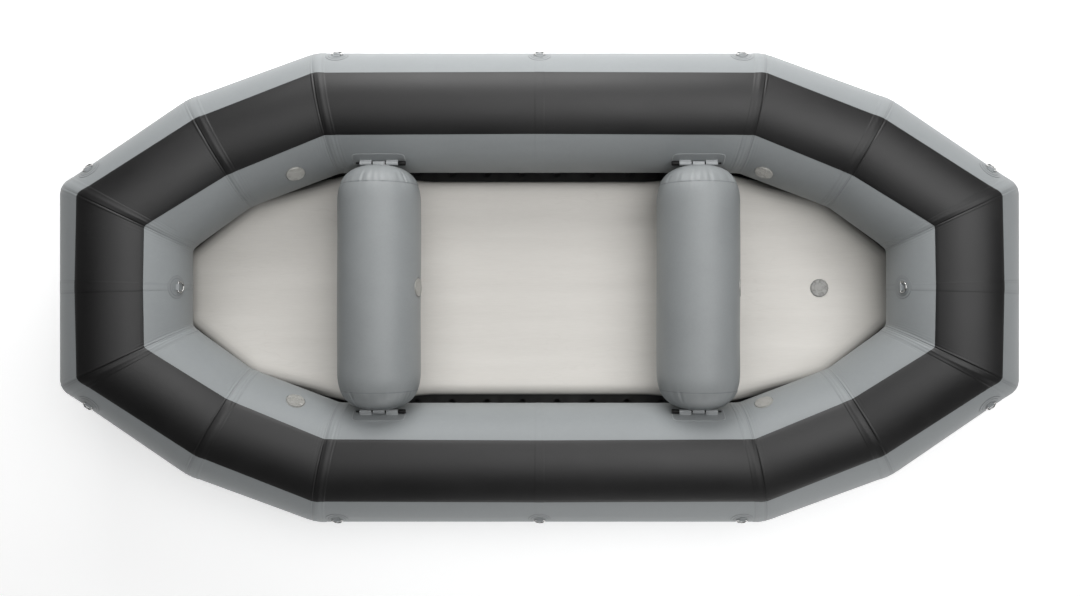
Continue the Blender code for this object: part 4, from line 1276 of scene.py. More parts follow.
@dataclass
class Floor:
    """The flat drop-stitch floor with its rounded edge.

    The insets are measured inboard from the centrelines of the side, the cheek and the end, and the
    fillets belong to the outline's corners there. Painted shade lies along the top's edge, where the
    tubes overhang it. Each pair of degrees is the middle and the width of a soft step over the edge's
    arc.
    """

    bottom_z: float = 0.020
    thickness: float = 0.120
    edge_radius: float = 0.055
    insets: tuple[float, float, float] = (0.244, 0.182, 0.132)
    fillets: tuple[float, float, float] = (0.150, 0.150, 0.090)
    waist_inset: float = 0.274
    waist_half_length: float = 0.490
    flare_before_shoulder: float = 0.117
    waist_fillet: float = 0.800
    valve_x: float = 1.250
    spine_half: float = 1.1
    inner_shares: tuple[float, ...] = (0.04, 0.25, 0.5, 0.72, 0.84, 0.92, 0.96, 0.98, 0.99)
    under_shares: tuple[float, ...] = (0.96, 0.72, 0.4, 0.04)
    edge_shade_tones: tuple[float, float] = (0.10, 0.55)
    edge_shade_from: tuple[float, float] = (0.95, 0.08)
    edge_shade_inner: tuple[float, float] = (0.35, 0.035)
    edge_shade_fall: float = 0.65
    edge_shade_ends_deg: tuple[float, float] = (74, 10)
    gap_line_deg: tuple[float, float] = (63, 4)
    side_tape_deg: tuple[float, float] = (27, 15)
    valve: LiftValve = field(default_factory=LiftValve)

    @property
    def top_z(self) -> float:
        """Level that feet stand on."""
        return self.bottom_z + self.thickness

    def corner(self, quarter: Quarter, corner: int) -> Array:
        """Where the edges of two runs cross, each set in from its run's centreline.

        Args:
            quarter: the quarter of the hull.
            corner: number of the corner.

        Returns:
            The point in the plane.
        """
        side, cheek, end = self.insets
        low, high = {1: (side, side), 2: (cheek, cheek), 3: (cheek, end)}[corner]
        before, after = quarter.outboard[corner - 1, :2], quarter.outboard[corner, :2]
        shift = np.linalg.solve(np.stack([before, after]), np.array([-low, -high]))
        return quarter.corners[corner, :2] + shift

    def waist(self, quarter: Quarter) -> list[Array]:
        """Where the narrow waist of the floor's side ends, and where its flare ends.

        Args:
            quarter: the quarter of the hull.

        Returns:
            Two points in the plane.
        """
        sizes = quarter.sizes
        signs = np.array([quarter.end.value, quarter.side.value])
        waist = (self.waist_half_length, sizes.side_y - self.waist_inset)
        flare = (sizes.shoulder_x - self.flare_before_shoulder, sizes.side_y - self.insets[0])
        return [np.array(point) * signs for point in (waist, flare)]

    def outline(self, spacing: float = 0.012) -> tuple[Array, Array]:
        """Outline with filleted corners and its outward normals, evenly spaced.

        A fillet is a chord between its two ends, pushed out from the fillet's middle to its radius.

        Args:
            spacing: the step along it.

        Returns:
            Points and normals, each of shape (count, 2).
        """
        ring: list[tuple[Array, float]] = []
        round_trip = (Quarter(End.BOW, Side.PORT), Quarter(End.BOW, Side.STARBOARD),
                      Quarter(End.STERN, Side.STARBOARD), Quarter(End.STERN, Side.PORT))
        for quarter in round_trip:
            corners = [(point, self.waist_fillet) for point in self.waist(quarter)]
            corners += [(self.corner(quarter, corner), self.fillets[corner - 1]) for corner in (1, 2, 3)]
            ring += corners if quarter.end.value * quarter.side.value > 0 else corners[::-1]
        pieces = []
        for step, (point, radius) in enumerate(ring):
            before = unit(ring[step - 1][0] - point)
            after = unit(ring[(step + 1) % len(ring)][0] - point)
            half = math.acos(float(before @ after)) / 2
            reach = radius / math.tan(half)
            centre = point + unit(before + after) * radius / math.sin(half)
            share = np.linspace(0, 1, 9)[:, None]
            chord = point + before * reach * (1 - share) + after * reach * share
            pieces.append(centre + unit(chord - centre) * radius)
        rough = np.concatenate([*pieces, pieces[0][:1]])
        points = evenly(rough, int(run_of(rough)[-1] / spacing))
        normals = plane_normals(points)
        return points, normals * np.sign(normals[0] @ points[0])

    def slab(self) -> Piece:
        """The slab: flat top and bottom joined by a round edge that follows the outline.

        Rows go from the middle line of the top, over the edge's arc, to the middle line of the bottom.
        On the arc a point lies one edge radius, times the angle's cosine, outside the inset outline.
        The marks are painted shade along the edge, where the tubes overhang it, a painted shadow line where
        it meets the end tubes, and the dark side tape below it, which also stands in for shade there.

        Returns:
            The floor's skin, with its valve's pocket.
        """
        points, normals = self.outline()
        inset = points - normals * self.edge_radius
        spine_x = np.clip(inset[:, 0], -self.spine_half, self.spine_half)
        spine = np.stack([spine_x, np.zeros(len(inset))], axis=-1)
        rows, heights, marks = [], [], []
        top, low = self.thickness / 2, self.thickness / 2 - self.edge_radius
        # Painted shade along the top's edge next to the tubes, stronger at the ends.
        at_ends = step_at(np.abs(points[:, 0]), *self.edge_shade_from)
        edge_shade = self.edge_shade_tones[0] + self.edge_shade_tones[1] * at_ends
        for share in self.inner_shares:
            rows.append(spine + (inset - spine) * share)
            heights.append(top)
            marks.append(self.edge_shade_inner[0] * edge_shade * bell(share, 1.0, self.edge_shade_inner[1]))
        for degrees in np.append(np.arange(90, 52, -3.5), np.linspace(50, -90, 15)):
            angle = math.radians(degrees)
            rows.append(inset + normals * self.edge_radius * math.cos(angle))
            level = low * math.copysign(1, angle) if abs(angle) > 1e-6 else 0.0
            heights.append(level + self.edge_radius * math.sin(angle))
            # Painted shade on the rounded edge, a painted shadow line at the end tubes, and the dark side
            # tape, which also stands in for shade.
            line = at_ends * (1 - step_at(degrees, *self.gap_line_deg))
            rim = np.maximum(line, 1 - step_at(degrees, *self.side_tape_deg))
            painted_shade = edge_shade * (1 - self.edge_shade_fall * step_at(degrees, *self.edge_shade_ends_deg))
            marks.append(np.maximum(painted_shade, rim))
        for share in self.under_shares:
            rows.append(spine + (inset - spine) * share)
            heights.append(-top)
            marks.append(np.zeros_like(edge_shade))
        flat = np.stack(rows)
        z = np.array(heights)[:, None] + self.bottom_z + top
        rings = np.concatenate([flat, np.broadcast_to(z[..., None], (*flat.shape[:2], 1))], axis=-1)
        piece = Skin().solid(rings, closed(flat), np.stack(marks)).build("floor_skin")
        return cut(piece, [self.valve.pocket("floor", self.valve_seat())])

    def valve_seat(self) -> Array:
        """Place of the floor's valve."""
        place = place_of(np.array([self.valve_x, 0, self.top_z]), FORWARD, UP)
        return self.valve.seated(place, None)

    def build(self) -> None:
        """Make and dress the floor."""
        dress(self.slab(), FLOOR_SAND, "root", "floor_fabric", "floor")


@dataclass
class BailFlaps:
    """The slack flaps between floor and tubes, with their drain holes.

    The flap meets the tube below its widest line, by one angle at each of the five corners. Each wave of
    puckers has a weight, a length over a full turn in radians, and a slant. The drill is the span of
    levels that cuts the holes.
    """

    floor: Floor
    thickness: float = 0.002
    below_deg: tuple[float, ...] = (50, 50, 60, 76, 80)
    columns: int = 13
    sag: float = 0.006
    wrinkle: float = 0.0022
    puckers: tuple[tuple[float, ...], ...] = ((1.0, 0.019, 2.0), (0.7, 0.031, -1.0), (0.5, 0.083, 0.0))
    hole_radius: float = 0.015
    hole_pitch: float = 0.159
    hole_count: int = 8
    hole_inset: float = 0.036
    drill: tuple[float, float] = (0.12, 0.02)
    row_step: float = 0.010
    cuts: dict[Side, tuple[float, float, float]] = field(default_factory=dict)

    def rows(self, quarter: Quarter) -> tuple[Array, Array]:
        """Inner and outer edge of the flap, from the middle of the side to the middle of the end.

        The inner edge is the point of the floor's outline that lies nearest to the outer one.

        Args:
            quarter: the quarter of the hull.

        Returns:
            Points of both edges, each of shape (rows, 3).
        """
        points, normals = self.floor.outline(0.003)
        outer = []
        radius = quarter.sizes.tube_radius + SEAT_GAP + self.thickness / 2
        middle_z = self.floor.bottom_z + self.floor.thickness / 2
        for run, length in enumerate(quarter.lengths):
            share = np.linspace(0, 1, int(length / self.row_step), endpoint=run == 3)[:, None]
            first, last = self.below_deg[run : run + 2]
            below = np.radians(first + (last - first) * share)
            offset = -quarter.outboard[run] * np.cos(below) - quarter.crown[run] * np.sin(below)
            starts, stops = (quarter.slid(run, corner, offset * radius) for corner in (run, run + 1))
            outer.append(starts + (stops - starts) * share)
        edge = np.concatenate(outer)
        nearest = np.argmin(np.linalg.norm(edge[:, None, :2] - points[None], axis=2), axis=1)
        inner = points[nearest] + normals[nearest] * SEAT_GAP
        return np.concatenate([inner, np.full((len(inner), 1), middle_z)], axis=1), edge

    def flap(self, side: Side) -> Piece:
        """One flap: a ruled band that sags between its edges and puckers along its length.

        The sag follows the sine of the share across. The puckers are three sine waves along the hull of
        unlike pitch, strongest half way across.

        Args:
            side: the side of the hull.

        Returns:
            The flap, with its holes.
        """
        fore = self.rows(Quarter(End.BOW, side))
        aft = self.rows(Quarter(End.STERN, side))
        inner, outer = (end_to_end(back, ahead) for back, ahead in zip(aft, fore))
        for edge in (inner, outer):
            edge[:, 1] = np.where(np.abs(edge[:, 1]) < 0.001, side.value * SEAT_GAP / 2, edge[:, 1])
        share = np.linspace(0, 1, self.columns)
        middle = inner[:, None] + (outer - inner)[:, None] * share[:, None]
        run = run_of(outer)[:, None]
        pucker = sum(part * np.sin(run / pitch + slant * share) for part, pitch, slant in self.puckers)
        arch = np.sin(np.pi * share)
        middle[..., 2] += pucker * self.wrinkle * 0.5 * arch - self.sag * arch
        half = np.array([0, 0, self.thickness / 2])
        wide = np.linalg.norm(outer - inner, axis=1)
        width = share * wide[:, None]
        chart = np.stack([np.broadcast_to(run, width.shape), width], axis=-1)
        # The marks lighten the flap where it puckers most: a painted sheen on the folds.
        skin = Skin().shell(middle + half, middle - half, chart, np.abs(pucker) * 0.3 * arch)
        area = float(np.sum(np.diff(run[:, 0]) * (wide[1:] + wide[:-1]) / 2))
        self.cuts[side] = (float(wide.max()), float(run[-1, 0]), area)
        return cut(skin.build("bail_flap_skin_" + label(side)), self.drills(side))

    def drills(self, side: Side) -> list[Piece]:
        """The cutters of one flap's holes, in a line along the floor's waist.

        Args:
            side: the side of the hull.

        Returns:
            One round cutter for each hole.
        """
        line_y = side.value * (HullSizes().side_y - self.floor.waist_inset + self.hole_inset)
        profile = np.array([(self.hole_radius, level) for level in self.drill])
        made = []
        for count in range(self.hole_count):
            x = self.hole_pitch * (count - (self.hole_count - 1) / 2)
            place = place_of(np.array([x, line_y, 0.0]), FORWARD, UP)
            made.append(Skin().turned(profile, place, 32).build(f"drill_{count}"))
        return made

    def build(self) -> None:
        """Make and dress both flaps, and log the size of each one's cut."""
        for side in Side:
            flap = self.flap(side)
            dress(flap, FLAP_BLACK, "root", "flap_fabric", "bail_flap_" + label(side))
            width, length, area = self.cuts[side]
            carriers = ["floor"] + [f"chamber_{label(end, side)}" for end in End]
            LOG.info("%s: cut %.3f by %.3f m, %.3f m2", flap.name, width, length, area)


@dataclass
class Thwart:
    """An inflated cross seat: a round tube whose ends are gathered into shallow domes.

    A pleat's shift, half width and depth are drawn between two limits each. The fade is how far the
    pleats reach outside the end seam, and the puckers inside it.
    """

    name: str
    x: float
    z: float = 0.370
    radius: float = 0.174
    half_length: float = 0.5094
    dome: float = 0.170
    tip_flat: float = 0.056
    dome_power: float = 2.7
    seam_from_tip: float = 0.080
    pleats: int = 26
    pleat_depth: float = 0.0030
    pleat_shift: tuple[float, float] = (-0.10, 0.10)
    pleat_width: tuple[float, float] = (0.028, 0.085)
    pleat_share: tuple[float, float] = (0.15, 1.0)
    fade: tuple[float, float] = (0.042, 0.030)
    pucker_share: float = 0.22
    seam_lip: float = 0.0009
    seam_soft: float = 0.0015
    uneven: float = 0.0010
    tip_rings: tuple[float, ...] = (0.012, 0.030, 0.046)
    columns: int = 240
    valve_above_deg: float = 12.0
    valve: LiftValve = field(default_factory=LiftValve)

    def valve_seat(self) -> Array:
        """Place of the thwart's valve, on its forward flank.

        Returns:
            The place.
        """
        tilt = math.radians(self.valve_above_deg)
        normal = np.array([math.cos(tilt), 0, math.sin(tilt)])
        origin = np.array([self.x, 0, self.z]) + normal * self.radius
        return self.valve.seated(place_of(origin, np.array([0, 1.0, 0]), normal), self.radius)

    def profile(self) -> tuple[Array, Array]:
        """Radius and distance from the middle, from the tip's flat out to the straight part.

        The dome is a superellipse: its rise is (1 - share to the power) to one over the power, and is
        scaled to reach the whole dome at the tip's flat.

        Returns:
            The radii and the distances.
        """
        share = np.sin(np.linspace(math.asin(self.tip_flat / self.radius), np.pi / 2, 60))
        rise = (1 - share**self.dome_power) ** (1 / self.dome_power)
        return self.radius * share, self.half_length - self.dome + self.dome * rise / rise[0]

    def gathers(self, angle: Array, seed: int) -> Array:
        """Heights of the pleats round one dome, each a narrow hollow with a ridge beside it.

        Their angles are evenly spaced and then shifted, and their widths and depths vary.

        Args:
            angle: the angles round the tube.
            seed: what the random numbers start from.

        Returns:
            One height for each angle.
        """
        draw = np.random.default_rng(seed)
        even = np.arange(self.pleats) * 2 * np.pi / self.pleats
        centres = even + draw.uniform(*self.pleat_shift, self.pleats)
        widths = draw.uniform(*self.pleat_width, self.pleats)
        depths = draw.uniform(*self.pleat_share, self.pleats) ** 1.5 * draw.choice([-1, 1], self.pleats)
        off = (angle[:, None] - centres + np.pi) % (2 * np.pi) - np.pi
        shape = bell(off, 0, widths) - 0.8 * bell(off - 2.0 * widths * np.sign(depths), 0, widths)
        return np.sum(-shape * np.abs(depths), axis=1)

    def tube(self) -> Piece:
        """The skin: the dome's profile turned about the long axis, gathered between tip and end seam.

        The pleats are strongest just outside the seam, fade towards the tip's flat, and run on past the
        seam only as faint puckers.

        Returns:
            The thwart's skin, with its valve's pocket.
        """
        radius, distance = self.profile()
        straight, seam = self.half_length - self.dome, self.half_length - self.seam_from_tip
        grid = np.unique(np.concatenate([
            np.linspace(0, straight, 14), np.linspace(straight, seam - 0.012, 16),
            np.linspace(seam - 0.010, seam + 0.010, 11), np.linspace(seam + 0.012, self.half_length, 22),
        ]))[::-1]
        wide = np.interp(grid, distance[::-1], radius[::-1])
        tip = np.array(self.tip_rings)
        radius = np.concatenate([tip, wide, wide[-2::-1], tip[::-1]])
        flat = np.full(len(tip), self.half_length)
        along = np.concatenate([flat, grid, -grid[-2::-1], -flat])
        angles = round_angles(self.columns)
        reach = np.abs(along)[:, None]
        outside = step_at(reach, seam, self.seam_soft)
        pleated = bell(reach, seam + 0.012, self.fade[0]) * outside
        fade = pleated + self.pucker_share * bell(reach, seam, self.fade[1]) * (1 - outside)
        wave = np.where(along[:, None] > 0, self.gathers(angles, 5), self.gathers(angles, 11))
        lip = self.seam_lip * (outside - 0.5)
        inner = 1 - step_at(reach, seam - 0.12, 0.03)
        unround = self.uneven * np.sin(3 * angles + 9 * along[:, None]) * inner
        beyond_tip = radius[:, None] > 0.06
        size = radius[:, None] + fade * wave * self.pleat_depth + (lip + unround) * beyond_tip
        x = self.x + size * np.cos(angles)
        z = self.z + size * np.sin(angles)
        rings = np.stack([x, np.broadcast_to(along[:, None], x.shape), z], axis=-1)
        # Painted shade along the end seam and in the pleats' hollows.
        marks = 0.8 * bell(reach, seam, 0.0018) + 0.5 * fade * np.clip(-wave, 0, 1)
        skin = Skin().solid(rings, chart_of(along, hoop_arc(angles, self.radius)), marks)
        pocket = self.valve.pocket("thwart_" + self.name, self.valve_seat())
        return cut(skin.build("thwart_skin_" + self.name), [pocket])

    def build(self) -> None:
        """Make and dress the thwart."""
        dress(self.tube(), THWART_GREY, "root", "hull_fabric", "thwart_" + self.name)


@dataclass
class Hinge:
    """The hinge at one end of a thwart: base patch, leaf and pin.

    A plate's ring shares run from its middle to its edge. They crowd round its hem, a shallow groove,
    and over the rounding of its edge. The powers are the patch's and the leaf's superellipse powers.
    """

    thwart: Thwart
    side: Side
    pin_rise: float = 0.130
    pin_radius: float = 0.004
    knuckle_radius: float = 0.009
    knuckle_length: float = 0.050
    knuckle_space: float = 0.0055
    web: float = 0.0023
    patch_thickness: float = 0.0025
    patch_half: tuple[float, float] = (0.111, 0.044)
    leaf_thickness: float = 0.003
    leaf_half: tuple[float, float] = (0.044, 0.021)
    running_gap: float = 0.0004
    knob_radius: float = 0.0095
    knob_length: float = 0.032
    knob_edge: float = 0.0018
    knuckle_edge: float = 0.0008
    tail: float = 0.016
    tip: float = 0.0006
    powers: tuple[float, float] = (7, 5)
    hem: float = 0.93
    hem_width: float = 0.012
    hem_depth: float = 0.0004
    rounding_from: float = 0.975

    @property
    def name(self) -> str:
        """Which hinge this is, as the solids name it."""
        return f"{self.thwart.name}_{label(self.side)}"

    @property
    def pin_off_tube(self) -> float:
        """Height of the pin over the tube's surface."""
        return SEAT_GAP + self.patch_thickness + self.web + self.knuckle_radius

    def pin_place(self) -> tuple[float, float]:
        """Where the pin lies, at the given rise over the tube's axis.

        Returns:
            Its distance from the hull's middle plane, and its angle over the tube's axis.
        """
        sizes = HullSizes()
        reach = sizes.tube_radius + self.pin_off_tube
        off_middle = sizes.side_y - math.sqrt(reach**2 - self.pin_rise**2)
        return off_middle, math.degrees(math.asin(self.pin_rise / reach))

    def knuckle(self, skin: Skin, place: Array, height: float, foot: float, offset: float) -> None:
        """Add a knuckle: a bored block with a round top.

        In the section, a ray at an angle above the level meets the round top at the knuckle's radius,
        and a ray below it meets the block's side or its foot, whichever is nearer.

        Args:
            skin: where the knuckle goes.
            place: the middle of its plate.
            height: height of its bore.
            foot: level of its underside.
            offset: how far it lies along the plate.
        """
        angle = round_angles(72)
        cosine, sine = np.cos(angle), np.sin(angle)
        side = self.knuckle_radius / np.maximum(np.abs(cosine), 1e-6)
        down = (height - foot) / np.maximum(-sine, 1e-6)
        outer = np.where(sine >= 0, self.knuckle_radius, np.minimum(side, down))
        bore = np.full_like(outer, self.pin_radius + self.running_gap)
        half, inset = self.knuckle_length / 2, self.knuckle_edge
        radii = [bore, outer - inset, outer, outer, outer - inset, bore]
        levels = [half, half, half - inset, -half + inset, -half, -half]
        rings = np.stack([
            np.stack([np.full_like(r, offset + x), r * cosine, height + r * sine], axis=-1)
            for r, x in zip(radii, levels)
        ])
        # The whole knuckle is marked, which paints it lighter: a painted highlight.
        index = skin.grid(moved(place, rings), wrap=True, marks=np.ones(1))
        skin.wall(index[-1], index[0], wrap=True)

    def plate(
        self, place: Array, half: tuple[float, float], power: float, thickness: float, curve: float | None
    ) -> Skin:
        """A rounded plate over the fabric, flat or hugging a round tube.

        The rings are the outline times a share. The top's edge falls by half the thickness along a
        quarter circle, and the hem is a bell-shaped groove.

        Args:
            place: its middle.
            half: half length and half width.
            power: the outline's superellipse power.
            thickness: its thickness.
            curve: radius of the tube that it hugs, or none.

        Returns:
            A skin with the plate.
        """
        outline = superellipse(*half, power, 144)
        rims = [self.hem, 0.95, self.rounding_from, 0.992, 1.0]
        shares = np.concatenate([[0.02], np.linspace(0.12, 0.90, 10), rims])
        edge = np.clip((shares - self.rounding_from) / 0.025, 0, 1)
        hem = self.hem_depth * bell(shares, self.hem, self.hem_width)
        top = SEAT_GAP + thickness - thickness * 0.5 * (1 - np.sqrt(1 - edge**2)) - hem
        flat = shares[:, None, None] * outline
        level = np.append(top, np.full(len(shares), SEAT_GAP))[:, None] * np.ones(flat.shape[1])
        flat = np.concatenate([flat, flat[::-1]])
        if curve:
            turn = flat[..., 1] / curve
            y, z = (curve + level) * np.sin(turn), (curve + level) * np.cos(turn) - curve
        else:
            y, z = flat[..., 1], level
        # Painted highlight along the top's rounded rim.
        marks = np.append(bell(shares, 1.0, 0.02), np.zeros(len(shares)))[:, None]
        rings = np.stack([flat[..., 0], y, z], axis=-1)
        return Skin().solid(moved(place, rings), closed(flat), marks)

    def base(self) -> Piece:
        """Patch on the tube with its two knuckles.

        Returns:
            The piece.
        """
        end = End.BOW if self.thwart.x > 0 else End.STERN
        above = self.pin_place()[1]
        place = Quarter(end, self.side).seat(0, abs(self.thwart.x), above - 90)
        thick = self.patch_thickness
        skin = self.plate(place, self.patch_half, self.powers[0], thick, HullSizes().tube_radius)
        step = self.knuckle_length + self.knuckle_space
        for offset in (-step, step):
            self.knuckle(skin, place, self.pin_off_tube, SEAT_GAP + thick - thick / 2, offset)
        return skin.build("hinge_patch_" + self.name)

    def at_pin(self, off_middle: float) -> Array:
        """Point at the pin's level, over the middle of the hinge."""
        level = HullSizes().axis_z + self.pin_rise
        return np.array([self.thwart.x, self.side.value * off_middle, level])

    def leaf(self) -> Piece:
        """Leaf on the thwart's tip with its knuckle.

        Returns:
            The piece.
        """
        out = np.array([0.0, self.side.value, 0.0])
        place = place_of(self.at_pin(self.thwart.half_length), FORWARD, out)
        thick = self.leaf_thickness
        height = self.knuckle_radius + SEAT_GAP + thick + SEAT_GAP
        skin = self.plate(place, self.leaf_half, self.powers[1], thick, None)
        self.knuckle(skin, place, height, SEAT_GAP + thick - thick / 2, 0.0)
        return skin.build("hinge_tongue_" + self.name)

    def pin(self) -> Piece:
        """Pin with a round-edged knob towards the middle of the hull.

        Returns:
            The piece.
        """
        reach = self.knuckle_length * 1.5 + self.knuckle_space + SEAT_GAP
        towards = np.array([-math.copysign(1, self.thwart.x), 0, 0])
        place = place_of(self.at_pin(self.pin_place()[0]), UP, towards)
        knob, edge, shank, tip = self.knob_radius, self.knob_edge, self.pin_radius, self.tip
        head, foot = reach + self.knob_length, -reach - self.tail
        profile = np.array([
            (tip, head), (knob - edge, head), (knob - edge / 3, head - edge / 3), (knob, head - edge),
            (knob, reach + edge), (knob - edge / 3, reach + edge / 3), (knob - edge, reach),
            (shank, reach), (shank, foot + edge), (shank - edge, foot), (tip, foot),
        ])
        return Skin().turned(profile, place, 48).build("hinge_bolt_" + self.name)

    def build(self) -> None:
        """Make and dress the hinge."""
        dress(self.base(), HINGE_GREY, "root", "hinge_polymer", "hinge_base_" + self.name)
        dress(self.leaf(), HINGE_GREY, "root", "hinge_polymer", "hinge_leaf_" + self.name)
        pin = "hinge_pin_" + self.name
        dress(self.pin(), PIN_BLACK, pin, "pin_black", pin)


@dataclass
class RingSeat:
    """A D-ring on its round patch, held by a webbing loop.

    The patch's second layer ends at the layer radius. Its rings crowd there and over the rim, which is
    rounded by the rim width. The smoothing is the reach and the width of the ring's running mean, in
    steps of its path.
    """

    name: str
    place: Array
    points_up: bool
    separate_patch: bool
    wire: float = 0.003
    half_width: float = 0.0215
    leg: float = 0.009
    patch_radius: float = 0.048
    patch_thickness: float = 0.0018
    layer_radius: float = 0.0358
    rim_width: float = 0.0015
    rim_drop: float = 0.0006
    line_width: float = 0.0010
    loop_wall: float = 0.0016
    loop_half: float = 0.0135
    loop_reach: float = 0.020
    loop_bell: float = 0.0062
    bar_lift: float = 0.002
    path_steps: int = 240
    smoothing: tuple[int, float] = (12, 4.5)

    @property
    def ring_height(self) -> float:
        """Height of the ring's straight bar over the tube's surface."""
        high = self.patch_thickness + (SEAT_GAP if self.separate_patch else 0.0)
        return high + self.bar_lift + self.wire + SEAT_GAP

    def add_patch(self, skin: Skin) -> None:
        """Add the round patch, which hugs the tube.

        Its height over its radius is the full thickness as far as the second layer goes, about half
        outside it, and falls along a quarter circle at the rim.

        Args:
            skin: where the patch goes.
        """
        radius, rim = HullSizes().tube_radius, self.patch_radius
        edges = [0.0352, 0.0364, 0.038, 0.043, rim - self.rim_width, 0.0474, rim]
        rho = np.concatenate([[0.0006], np.linspace(0.006, 0.034, 9), edges])
        fall = np.clip((rho - (rim - self.rim_width)) / self.rim_width, 0, 1)
        layer = 0.55 + 0.45 * (1 - step_at(rho, self.layer_radius, 0.0004))
        high = SEAT_GAP + self.patch_thickness * layer
        high = high - self.rim_drop * (1 - np.sqrt(1 - fall**2))
        angle = round_angles(96)
        rho = np.append(rho, rho[::-1])[:, None]
        level = np.append(high, np.full(len(high), SEAT_GAP * 0.5))[:, None]
        x, y = rho * np.cos(angle), rho * np.sin(angle)
        out = radius + level * np.ones(len(angle))
        rings = np.stack([x, out * np.sin(y / radius), out * np.cos(y / radius) - radius], axis=-1)
        width = self.line_width
        # Painted shade lines at the step of the second layer and along the rim.
        marks = bell(rho, self.layer_radius, width) + 0.8 * bell(rho, rim, width)
        skin.solid(moved(self.place, rings), closed(np.stack([x, y], axis=-1)), marks)

    def add_loop(self, skin: Skin) -> None:
        """Add the webbing loop over the ring's bar.

        It is a band that climbs from the patch over the bar, as a bell curve whose top clears the bar,
        and comes down on the far side. Right over the bar it is a half circle.

        Args:
            skin: where the loop goes.
        """
        y = np.linspace(-self.loop_reach, self.loop_reach, 41)
        clear = self.wire + SEAT_GAP
        over_bar = self.ring_height + np.sqrt(np.clip(clear**2 - y**2, 0, None))
        climb = self.ring_height + clear - self.patch_thickness
        hang = self.patch_thickness + climb * bell(y, 0, self.loop_bell)
        low = np.maximum(np.where(np.abs(y) < clear, over_bar, 0), hang)
        x = np.linspace(-self.loop_half, self.loop_half, 9)
        parts = (x, y[:, None], low[:, None])
        under = np.stack([np.broadcast_to(part, (len(y), len(x))) for part in parts], axis=-1)
        over = under + np.array([0, 0, self.loop_wall])
        skin.shell(moved(self.place, over), moved(self.place, under), under[..., :2])

    def patch(self) -> Piece:
        """Round patch and loop.

        Returns:
            The piece.
        """
        skin = Skin()
        self.add_patch(skin)
        self.add_loop(skin)
        return skin.build("ring_seat_" + self.name)

    def ring(self) -> Piece:
        """The D-ring: round wire swept along a D whose corners are rounded.

        The D is a straight bar, two legs and a half circle, walked in even steps and smoothed by a
        bell-shaped running mean.

        Returns:
            The piece.
        """
        arc, half = np.linspace(0, np.pi, 60), self.half_width
        bow = np.stack([half * np.cos(arc), self.leg + half * np.sin(arc)], axis=-1)
        rough = np.concatenate([[(half, 0)], bow, [(-half, 0), (half, 0)]])
        reach, width = self.smoothing
        shifts = np.arange(-reach, reach + 1)
        weights = bell(shifts, 0, width)
        weights = weights / weights.sum()
        even = evenly(rough, self.path_steps)
        path = sum(np.roll(even, shift, axis=0) * weight for shift, weight in zip(shifts, weights))
        path = path[::2]
        normal = plane_normals(path)
        angle = round_angles(16)
        flat = path[:, None] + normal[:, None] * (self.wire * np.cos(angle))[:, None]
        z = np.broadcast_to(self.ring_height + self.wire * np.sin(angle), flat.shape[:2])
        up = self.place[2, 1] > 0
        flat = flat * (1, 1 if up == self.points_up else -1)
        points = np.concatenate([flat, z[..., None]], axis=-1)
        points = np.concatenate([points, points[:1]])
        along = np.arange(len(points)) * (run_of(rough)[-1] / len(path))
        skin = Skin()
        skin.grid(moved(self.place, points), chart_of(along, hoop_arc(angle, self.wire)), wrap=True)
        return skin.build("lashing_ring_" + self.name)

    def build(self) -> None:
        """Make and dress the patch and its ring."""
        nodes = ["ring_patch_" + self.name] if self.separate_patch else []
        dress(self.patch(), PATCH_GREY, "root", "hull_fabric", *nodes)
        node = "d_ring_" + self.name
        dress(self.ring(), STEEL, node, "ring_steel", node)


@dataclass
class Lashings:
    """All twelve D-rings: three a side and the corners outside, and one inside each end."""

    side_back: float = 0.066
    side_above_deg: float = 32.0
    corner_back: float = 0.014
    corner_above_deg: float = 39.0
    end_above_deg: float = 20.0

    def seats(self) -> list[RingSeat]:
        """Where the rings sit.

        Returns:
            One seat for each ring.
        """
        beside = 90 - self.side_above_deg
        side_x = HullSizes().shoulder_x - self.side_back
        made = []
        for end in End:
            for side in Side:
                quarter = Quarter(end, side)
                at = quarter.lengths[2] - self.corner_back
                made.append(RingSeat(label(end, side), quarter.seat(0, side_x, beside), False, False))
                name = f"{label(end)}_corner_{label(side)}"
                place = quarter.seat(2, at, 90 - self.corner_above_deg)
                made.append(RingSeat(name, place, False, False))
        for side in Side:
            place = Quarter(End.BOW, side).seat(0, 0, beside)
            made.append(RingSeat("middle_" + label(side), place, False, True))
        for end in End:
            quarter = Quarter(end, Side.PORT)
            place = quarter.seat(3, quarter.lengths[3], self.end_above_deg - 90)
            made.append(RingSeat("inside_" + label(end), place, end is End.BOW, True))
        return made

    def build(self) -> None:
        """Make and dress every ring."""
        for seat in self.seats():
            seat.build()


@dataclass
class Valves:
    """Caps of the seven lift valves, and finishes for what they cover."""

    hull: Hull
    floor: Floor
    thwarts: list[Thwart]
    solids: dict[str, Piece]
    floor_painted_shade: float = 1.0
    other_painted_shade: float = 0.25

    def places(self) -> dict[str, Array]:
        """Name and seat of each valve.

        Returns:
            The seats by the valves' names.
        """
        quarters = [Quarter(end, side) for end in End for side in Side]
        made = {label(quarter.end, quarter.side): self.hull.valve_seat(quarter) for quarter in quarters}
        made |= {"thwart_" + thwart.name: thwart.valve_seat() for thwart in self.thwarts}
        return made | {"floor": self.floor.valve_seat()}

    def build(self) -> None:
        """Make the caps and dress bodies and plungers."""
        for name, place in self.places().items():
            node = "valve_cap_" + name
            # The caps' notches and rims get painted shade, strongest on the floor's cap.
            painted_shade = self.floor_painted_shade if name == "floor" else self.other_painted_shade
            lid = self.hull.valve.cap("valve_lid_" + name, place, painted_shade)
            dress(lid, CAP_FINISHES.get(name, CAP_GREY), node, "valve_cap", node)
        for name, node in self.solids.items():
            for prefix, finish in (("valve_body_", BODY_GREY), ("valve_plunger_", PLUNGER_GREY)):
                if name.startswith(prefix):
                    node.data.materials.clear()
                    node.data.materials.append(finish.material())
                    LOG.info("%s: the solid itself, in %s", name, finish.name)


